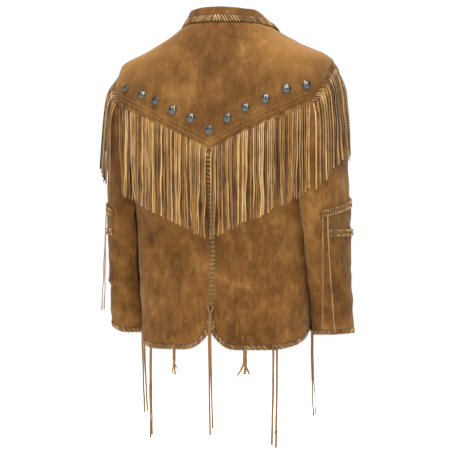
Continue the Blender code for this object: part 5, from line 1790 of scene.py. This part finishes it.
def knot(parts, centre, radius, across, out):
    """A small overhand knot: one thong wound round itself."""
    t = np.linspace(0.0, 2 * math.pi, 33)[:-1]
    path = (centre[None] + across[None] * (radius * (np.sin(t) + 2 * np.sin(2 * t)) / 3)[:, None]
            + UP[None] * (radius * (np.cos(t) - 2 * np.cos(2 * t)) / 3)[:, None]
            - out[None] * (radius * np.sin(3 * t) / 2.6)[:, None])
    path = np.concatenate((path, path[:1]))
    ahead = unit(np.gradient(path, axis=0))
    side_way = unit(np.cross(ahead, out[None] + ahead * 0.1 + UP[None] * 0.05))
    parts.tube(np.stack(circle(path, side_way, unit(np.cross(side_way, ahead)), KNOT_THONG, 6), axis=1),
               tone=KNOT_TONE)


def hem_spot(side_name, x):
    """A place on the back hem: the edge point, the way up the cloth, and the level way out."""
    points, normals = back_form[side_name]
    row = points[0]
    at = float(np.interp(abs(x), np.abs(row[:, 0]), np.arange(len(row))))
    edge = sample(points, 0.0, at)
    out = unit(sample(normals, 0.0, at) * np.array((1, 1, 0)))
    return edge, unit(sample(points, 2.0, at) - edge), out


def thong_piece(name, parts, node):
    made = parts.piece(name, ("thong", "fringe_edge_and_shade"), 35)
    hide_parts(node)


def bound(parts, centre, up, out, half, seed, tone=0.5):
    """A loop of thong drawn tight round a bundle."""
    t = np.linspace(0.0, 2 * math.pi, 15)
    path = (centre[None] + level_across(out)[None] * (np.cos(t) * half)[:, None]
            + out[None] * (np.sin(t) * 0.0019)[:, None]
            + up[None] * (0.0009 * np.sin(t + scatter(seed, 3.0)))[:, None])
    lift = unit(np.cross(unit(np.gradient(path, axis=0)), up[None]))
    lift = np.where((np.einsum("ij,ij->i", lift, path - centre))[:, None] < 0, -lift, lift)
    strip(parts, path, lift, *LOOP_SIZE, tone)


for side_name, (x, ends, drifts) in HEM_TIES.items():
    edge, up, out = hem_spot(side_name, x)
    parts = Parts()
    tie_pair(parts, edge + up * TIE_HEAD + out * TIE_HEAD_OUT, edge + out * TIE_FREE_OUT,
             HEM_TIE_GAPS[side_name], ends, drifts, out, 900 + 10 * SIDES[side_name], HEM_TIE_WIDTH)
    bound(parts, edge + out * TIE_HEAD_OUT + up * TIE_LOOP[0], up, out, TIE_LOOP[1], 3)
    if side_name == "right":
        across = level_across(out)
        place = edge + across * 0.0043 + out * 0.003 + np.array(HEM_KNOT_PLACE)
        knot(parts, place, HEM_KNOT_RADIUS, across, out)
    thong_piece("hem_thongs_" + side_name, parts, "hem_tie_" + side_name)

for side_name, (x, ends, drifts) in HEM_TASSELS.items():
    edge, up, out = hem_spot(side_name, x)
    across = level_across(out)
    parts = Parts()
    head_end = edge - UP * TASSEL_HEAD + out * 0.0030
    top = edge + up * 0.004 + out * 0.0024
    s = np.linspace(0.0, 1.0, 18)
    for i, (end, drift) in enumerate(zip(ends, drifts)):
        phase = 2 * math.pi * (s * 1.9 + i / 3)
        middle = top[None] * (1 - s)[:, None] + head_end[None] * s[:, None]
        head = (middle + across[None] * (0.0021 * np.sin(phase))[:, None]
                + out[None] * (0.0015 * np.sin(2 * phase) + 0.0004)[:, None])
        free_thong(parts, head[-1] - UP * 0.0015, end, drift, out, 940 + i + 10 * SIDES[side_name],
                   TASSEL_WIDTHS[side_name], head, turns=0.5)
    bound(parts, head_end + UP * 0.002, UP, out, 0.0038, 5, 0.35)
    bound(parts, top - UP * 0.0030, UP, out, 0.0036, 6, 0.6)
    if side_name == "right":
        knot(parts, head_end + out * 0.0012, TASSEL_KNOT_RADIUS, across, out)
    thong_piece("hem_tassel_strands_" + side_name, parts, "hem_tassel_" + side_name)


def along_back(point, before):
    """Keep a thong just off the back above the hem, and straight down below it."""
    middle_hem_z = float(back_hem_z(0))
    if point[2] > middle_hem_z - 0.02:
        place = on_back(point[0], max(point[2], middle_hem_z + 0.004))[0]
        return max(point[1], place[1] + 0.0024)
    return before[1]


parts = Parts()
tip = np.array((0.0006, on_back(0.0, -0.6600)[0][1] + 0.0026, -0.6605))
for i, ((end, drift), side) in enumerate(zip(VENT_TIE_ENDS, (1, -1))):
    high = np.array((side * 0.0064, on_back(side * 0.0064, -0.6440)[0][1] + 0.0032, -0.6440))
    middle = high * 0.45 + tip * 0.55 + np.array((side * 0.0012, 0.0006, 0.0))
    last = tip + np.array((side * 0.0014, 0.0, 0.0005))
    head = np.array((high, high * 0.6 + middle * 0.4, middle, middle * 0.4 + last * 0.6))
    free_thong(parts, tip + np.array((side * 0.0017, 0.0, -0.003)), end, drift, FACING_BACK, 970 + i,
               VENT_TIE_WIDTH, head, along_back)
knot(parts, tip + np.array((0.0, 0.0008, -0.001)), VENT_KNOT_RADIUS, np.array((1.0, 0.0, 0.0)), FACING_BACK)
thong_piece("vent_thongs", parts, "vent_tie")

for side_name, side in SIDES.items():
    grid, normals = whole_sleeve_form(side_name)
    last = grid.shape[0] - 1.0
    at = CUFF_TIE_PLACE * FINE
    edge = sample(grid, last, at)
    up = unit(sample(grid, last - 2.0, at) - edge)
    out = unit(sample(normals, last, at) * np.array((1, 1, 0)))
    parts = Parts()
    tie_pair(parts, edge + up * TIE_HEAD + out * TIE_HEAD_OUT, edge + out * TIE_FREE_OUT,
             CUFF_TIE_GAP, *CUFF_TIE_ENDS, out, 1000 + 10 * side, THONG[0])
    bound(parts, edge + out * 0.0018 + up * TIE_LOOP[0], up, out, TIE_LOOP[1], 9)
    thong_piece("cuff_thongs_" + side_name, parts, "cuff_tie_" + side_name)

    row = float(len(CAP_STOPS) * FINE)
    at = ELBOW_TIE_PLACES[side_name] * FINE
    spot = sample(grid, row, at)
    out = unit(sample(normals, row, at) * np.array((1, 1, 0)))
    gap = ELBOW_TIE_GAPS[side_name]
    parts = Parts()
    start = spot + out * ELBOW_TIE_START[0] + UP * ELBOW_TIE_START[1]
    tie_pair(parts, spot + out * ELBOW_TIE_TOP[0] + UP * ELBOW_TIE_TOP[1], start, gap,
             [start[2] - drop for drop in ELBOW_TIE_DROPS[side_name]], ELBOW_TIE_DRIFTS[side_name],
             out, 1040 + 10 * side, ELBOW_TIE_WIDTH)
    if side_name == "right":
        bar = [spot + out * 0.0042 + level_across(out) * u + UP * (0.0015 * math.cos(u * 220))
               for u in np.linspace(-gap * 0.6, gap * 0.6, 7)]
        strip(parts, bar, [out] * 7, *ELBOW_BAR_SIZE, 0.35)
    thong_piece("elbow_thongs_" + side_name, parts, "elbow_tie_" + side_name)

# Conchos and buttons: places as x, z and tilt; profiles from the rim in, as shares of the radius

CONCHO_RADIUS = 0.0104
CONCHO_SIDES = 64
CONCHO_BASE = 0.0006
CONCHO_CROWN = 0.0053
CONCHOS = (
    (0.2050, -0.1460, 12), (0.1620, -0.1650, 0), (0.1270, -0.1815, 20), (0.0860, -0.2030, 0),
    (0.0425, -0.2215, 0), (-0.0015, -0.2480, 6), (-0.0435, -0.2215, 0), (-0.0855, -0.1990, 0),
    (-0.1315, -0.1785, 0), (-0.1775, -0.1570, 0), (-0.2180, -0.1480, 0),
)
CONCHO_PROFILE = (
    (0.93, -0.0002, 0.10, 0.0), (1.00, 0.0006, 0.50, 0.0), (0.985, 0.0013, 0.90, 0.3),
    (0.92, 0.0016, 1.00, 0.5), (0.85, 0.0013, 0.15, 0.0), (0.78, 0.0017, 0.35, 0.4),
    (0.66, 0.0026, 0.75, 1.0), (0.52, 0.0034, 0.70, 1.0), (0.38, 0.0040, 0.45, 0.7),
    (0.29, 0.0042, 0.10, 0.0), (0.22, 0.0046, 0.80, 0.0), (0.11, 0.0051, 1.00, 0.0),
)
PETALS = 10
PETAL_DEPTH = 0.00034
PETALS_WITHIN = 0.85
ROPE_NOTCHES = 32


def disc_seat(ground, x, z, radius, face):
    """Seat of a disc on cloth: a centre raised until the rim is clear, its way out, across and up."""
    places = []
    ways = []
    for k in range(17):
        angle = 2 * math.pi * k / 16
        reach = radius if k < 16 else 0.0
        start = Vector((x + reach * math.cos(angle), 0.5 * face, z + reach * math.sin(angle)))
        place, normal = ground.tree.ray_cast(start, Vector((0.0, -face, 0.0)))[:2]
        if place is not None:
            normal = np.array(normal)
            ways.append(normal if normal[1] * face > 0 else -normal)
            places.append(np.array(place))
    out = unit(np.sum(ways, axis=0))
    centre = places[-1]
    centre = centre + out * max(max(float(np.dot(p - centre, out)) for p in places), 0.0)
    across = level_across(out)
    return centre, out, across, np.cross(out, across)


for number, (x, z, tilt) in enumerate(CONCHOS):
    seat, out, across, up = disc_seat(yoke_ground, x, z, CONCHO_RADIUS, 1)
    lean = math.radians(tilt)
    tilted = out * math.cos(lean) - across * math.sin(lean)
    across = unit(across * math.cos(lean) + out * math.sin(lean))
    seat = seat + out * (CONCHO_BASE + CONCHO_RADIUS * math.sin(lean) * 0.55)
    angles = np.linspace(0, 2 * math.pi, CONCHO_SIDES + 1)[:-1] + scatter(number, 0.6)
    ways = across[None] * np.cos(angles)[:, None] + up[None] * np.sin(angles)[:, None]
    rings = []
    tones = []
    for radius, rise, tone, relief in CONCHO_PROFILE:
        petal = np.cos((PETALS if radius < PETALS_WITHIN else ROPE_NOTCHES) * angles)
        height = rise + PETAL_DEPTH * relief * petal
        rings.append(seat[None] + tilted[None] * height[:, None] + ways * (radius * CONCHO_RADIUS))
        tones.extend(np.clip(tone + 0.35 * relief * petal, 0, 1).tolist())
    parts = Parts()
    parts.fan(rings, seat + tilted * CONCHO_CROWN, tones + [1.0])
    made = parts.piece("concho_disc_%02d" % (number + 1), ("metal",), 60)
    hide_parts("concho_%02d" % (number + 1))

BUTTON_HEIGHTS = (-0.165, -0.285, -0.405, -0.525, -0.645)
BUTTON_X = 0.003
BUTTON_RADIUS = 0.0090
BUTTON_FACE = 0.0018
BUTTON_HOLES = (0.0021, 0.0008)
BUTTON_THREAD = (0.0009, 0.0005)
BUTTON_BASE = 0.0005
BUTTON_PROFILE = (
    (0.86, 0.0), (1.0, 0.0007), (1.0, 0.0017), (0.93, 0.0025),
    (0.82, 0.0029), (0.70, 0.0025), (0.58, 0.0020), (0.30, 0.0018),
)
for number, z in enumerate(BUTTON_HEIGHTS):
    seat, out, across, up = disc_seat(front_seat["left"], BUTTON_X, z, BUTTON_RADIUS, -1)
    seat = seat + out * BUTTON_BASE
    parts = Parts()
    parts.fan([circle(seat + out * rise, across, up, radius * BUTTON_RADIUS, 40)
               for radius, rise in BUTTON_PROFILE], seat + out * BUTTON_FACE)
    for quarter in (45, 135, 225, 315):
        way = across * math.cos(math.radians(quarter)) + up * math.sin(math.radians(quarter))
        spot = seat + way * BUTTON_HOLES[0] + out * BUTTON_FACE
        # Dark discs for the button's holes: painted shade inside them.
        parts.fan([circle(spot + out * rise, across, up, BUTTON_HOLES[1], 8) for rise in (0.0, 0.0002)],
                  spot + out * 0.0001, slot=1)
    for turned in (across, up):
        points = [seat + turned * u * 0.0016 + out * (0.0021 + 0.0004 * (1 - u * u))
                  for u in np.linspace(-1, 1, 5)]
        strip(parts, points, [out] * 5, *BUTTON_THREAD, 0.5, 2)
    made = parts.piece("button_disc_%d" % (number + 1), ("button", "hole", "thread"), 50)
    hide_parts("button_%d" % (number + 1))


# Cloth cuts: flat width and length in metres, and the area of each cut piece


def grid_area(grid):
    """Area of a grid's quads."""
    a = grid[:-1, :-1]
    b = grid[:-1, 1:]
    c = grid[1:, 1:]
    d = grid[1:, :-1]
    return float((np.linalg.norm(np.cross(b - a, c - a), axis=-1)
                  + np.linalg.norm(np.cross(c - a, d - a), axis=-1)).sum() / 2)


def cut(name, grid, held, rests_on=(), with_pieces=()):
    """Work out a cloth piece's flat width, length and area from its own grid; nothing further is done with
    them.
    """
    widths = np.linalg.norm(np.diff(grid, axis=1), axis=-1).sum(axis=1)
    lengths = np.linalg.norm(np.diff(grid, axis=0), axis=-1).sum(axis=0)
    width = round(float(widths.max()), 3)
    length = round(float(lengths.max()), 3)
    area = round(min(grid_area(grid), width * length), 4)
    list(rests_on)
    [bpy.data.objects[n] for n in with_pieces]


discs = ["concho_disc_%02d" % (n + 1) for n in range(len(CONCHOS))]
buttons = ["button_disc_%d" % (n + 1) for n in range(len(BUTTON_HEIGHTS))]
for side_name in SIDES:
    on_panel = ["hem_thongs_" + side_name, "hem_tassel_strands_" + side_name]
    if side_name == "left":
        on_panel += ["centre_seam_band", "centre_lacing", "centre_lacing_holes", "vent_thongs", "hem_lacing",
                     "hem_lacing_holes"]
    cut("back_panel_" + side_name, back_ground[side_name], "hung", ["collar"], on_panel)
    cut("front_panel_" + side_name, front_ground[side_name], "hung", ["collar"],
        buttons if side_name == "left" else ())
    for part in SLEEVE_PIECES:
        on_sleeve = ()
        if part == "outer":
            on_sleeve = ["arm_fringe_strands_" + side_name, "elbow_thongs_" + side_name,
                         "sleeve_cross_seam_" + side_name]
            if side_name == "left":
                on_sleeve += ["armhole_lacing", "armhole_lacing_holes", "cuff_lacing", "cuff_lacing_holes"]
        else:
            on_sleeve = ["cuff_thongs_" + side_name]
        cut("sleeve_%s_cloth_%s" % (part, side_name), sleeve_cuts[side_name, part], "hung",
            ["back_panel_" + side_name, "front_panel_" + side_name], on_sleeve)
    on_insert = ["elbow_lacing", "elbow_lacing_holes"] if side_name == "left" else ()
    cut("elbow_insert_" + side_name, back_form["elbow_" + side_name][0], "stretched",
        ["sleeve_outer_cloth_" + side_name], on_insert)
for name, rows in elbow_bands.items():
    cut(name, rows, "stretched", ["sleeve_outer_cloth_" + name.rsplit("_", 1)[1]])
cut("yoke_panel", yoke_top, "hung", ["back_panel_left", "back_panel_right"],
    discs + ["back_fringe_strands", "yoke_stitching"])
cut("collar_cloth", collar_points, "folded", ["back_panel_left", "front_panel_left"],
    ["collar_lacing", "collar_lacing_holes"])


# Floor, light and camera

FLOOR_Z = -1.06
FLOOR_GLOW = 0.45


def plain_white(name):
    made = bpy.data.materials.new(name)
    made.use_nodes = True
    shader = made.node_tree.nodes["Principled BSDF"]
    shader.inputs["Base Color"].default_value = (0.93, 0.93, 0.93, 1.0)
    shader.inputs["Roughness"].default_value = 0.9
    shader.inputs["Emission Color"].default_value = (1.0, 1.0, 1.0, 1.0)
    shader.inputs["Emission Strength"].default_value = FLOOR_GLOW
    return made


floor_mesh = bpy.data.meshes.new("floor")
around = [(7.0 * math.cos(a), 7.0 * math.sin(a), FLOOR_Z) for a in np.linspace(0, 2 * math.pi, 97)[:-1]]
floor_mesh.from_pydata(around, [], [tuple(range(96))])
floor_mesh.materials.append(plain_white("pale_floor"))
floor = bpy.data.objects.new("floor", floor_mesh)
bpy.context.scene.collection.objects.link(floor)

world = bpy.data.worlds.new("studio")
bpy.context.scene.world = world
world.use_nodes = True
world.node_tree.nodes["Background"].inputs["Color"].default_value = (1.0, 1.0, 1.0, 1.0)
ROOM_LIGHT = 0.36
tree = world.node_tree
seen = tree.nodes.new("ShaderNodeLightPath")
strength = tree.nodes.new("ShaderNodeMapRange")
strength.inputs["To Min"].default_value = ROOM_LIGHT
strength.inputs["To Max"].default_value = 1.0
tree.links.new(seen.outputs["Is Camera Ray"], strength.inputs["Value"])
tree.links.new(strength.outputs["Result"], tree.nodes["Background"].inputs["Strength"])


def soft_light(name, place, size, power, aim=(0.0, 0.0, -0.40)):
    lamp = bpy.data.lights.new(name, "AREA")
    lamp.shape = "DISK"
    lamp.size = size
    lamp.energy = power
    made = bpy.data.objects.new(name, lamp)
    made.location = place
    made.rotation_euler = (Vector(aim) - Vector(place)).to_track_quat("-Z", "Y").to_euler()
    bpy.context.scene.collection.objects.link(made)


soft_light("key", (-1.2, 1.9, 4.7), 1.0, 335.0)
soft_light("top", (0.5, 0.2, 4.6), 1.2, 190.0)
soft_light("fill", (2.9, 3.6, 0.6), 2.0, 50.0)
soft_light("front", (0.9, -4.0, 2.6), 1.8, 120.0)

CAMERA_TURN = math.radians(17.4)
CAMERA_RISE = math.radians(1.0)
CAMERA_AWAY = 9.0
CAMERA_AIM = Vector((0.0, 0.0, -0.466))
VIEW_WIDTH = 1.0292
camera_data = bpy.data.cameras.new("camera")
camera_data.sensor_width = 36.0
camera_data.lens = 36.0 * CAMERA_AWAY / VIEW_WIDTH
camera_data.shift_x = -1.3 / 452
camera_data.clip_end = 60.0
camera = bpy.data.objects.new("camera", camera_data)
way = Vector((-math.sin(CAMERA_TURN) * math.cos(CAMERA_RISE), math.cos(CAMERA_TURN) * math.cos(CAMERA_RISE),
              math.sin(CAMERA_RISE)))
camera.location = CAMERA_AIM + way * CAMERA_AWAY
camera.rotation_mode = "QUATERNION"
camera.rotation_quaternion = (-way).to_track_quat("-Z", "Y")
bpy.context.scene.collection.objects.link(camera)
bpy.context.scene.camera = camera
bpy.context.scene.view_settings.view_transform = "Standard"
bpy.context.scene.view_settings.look = "None"
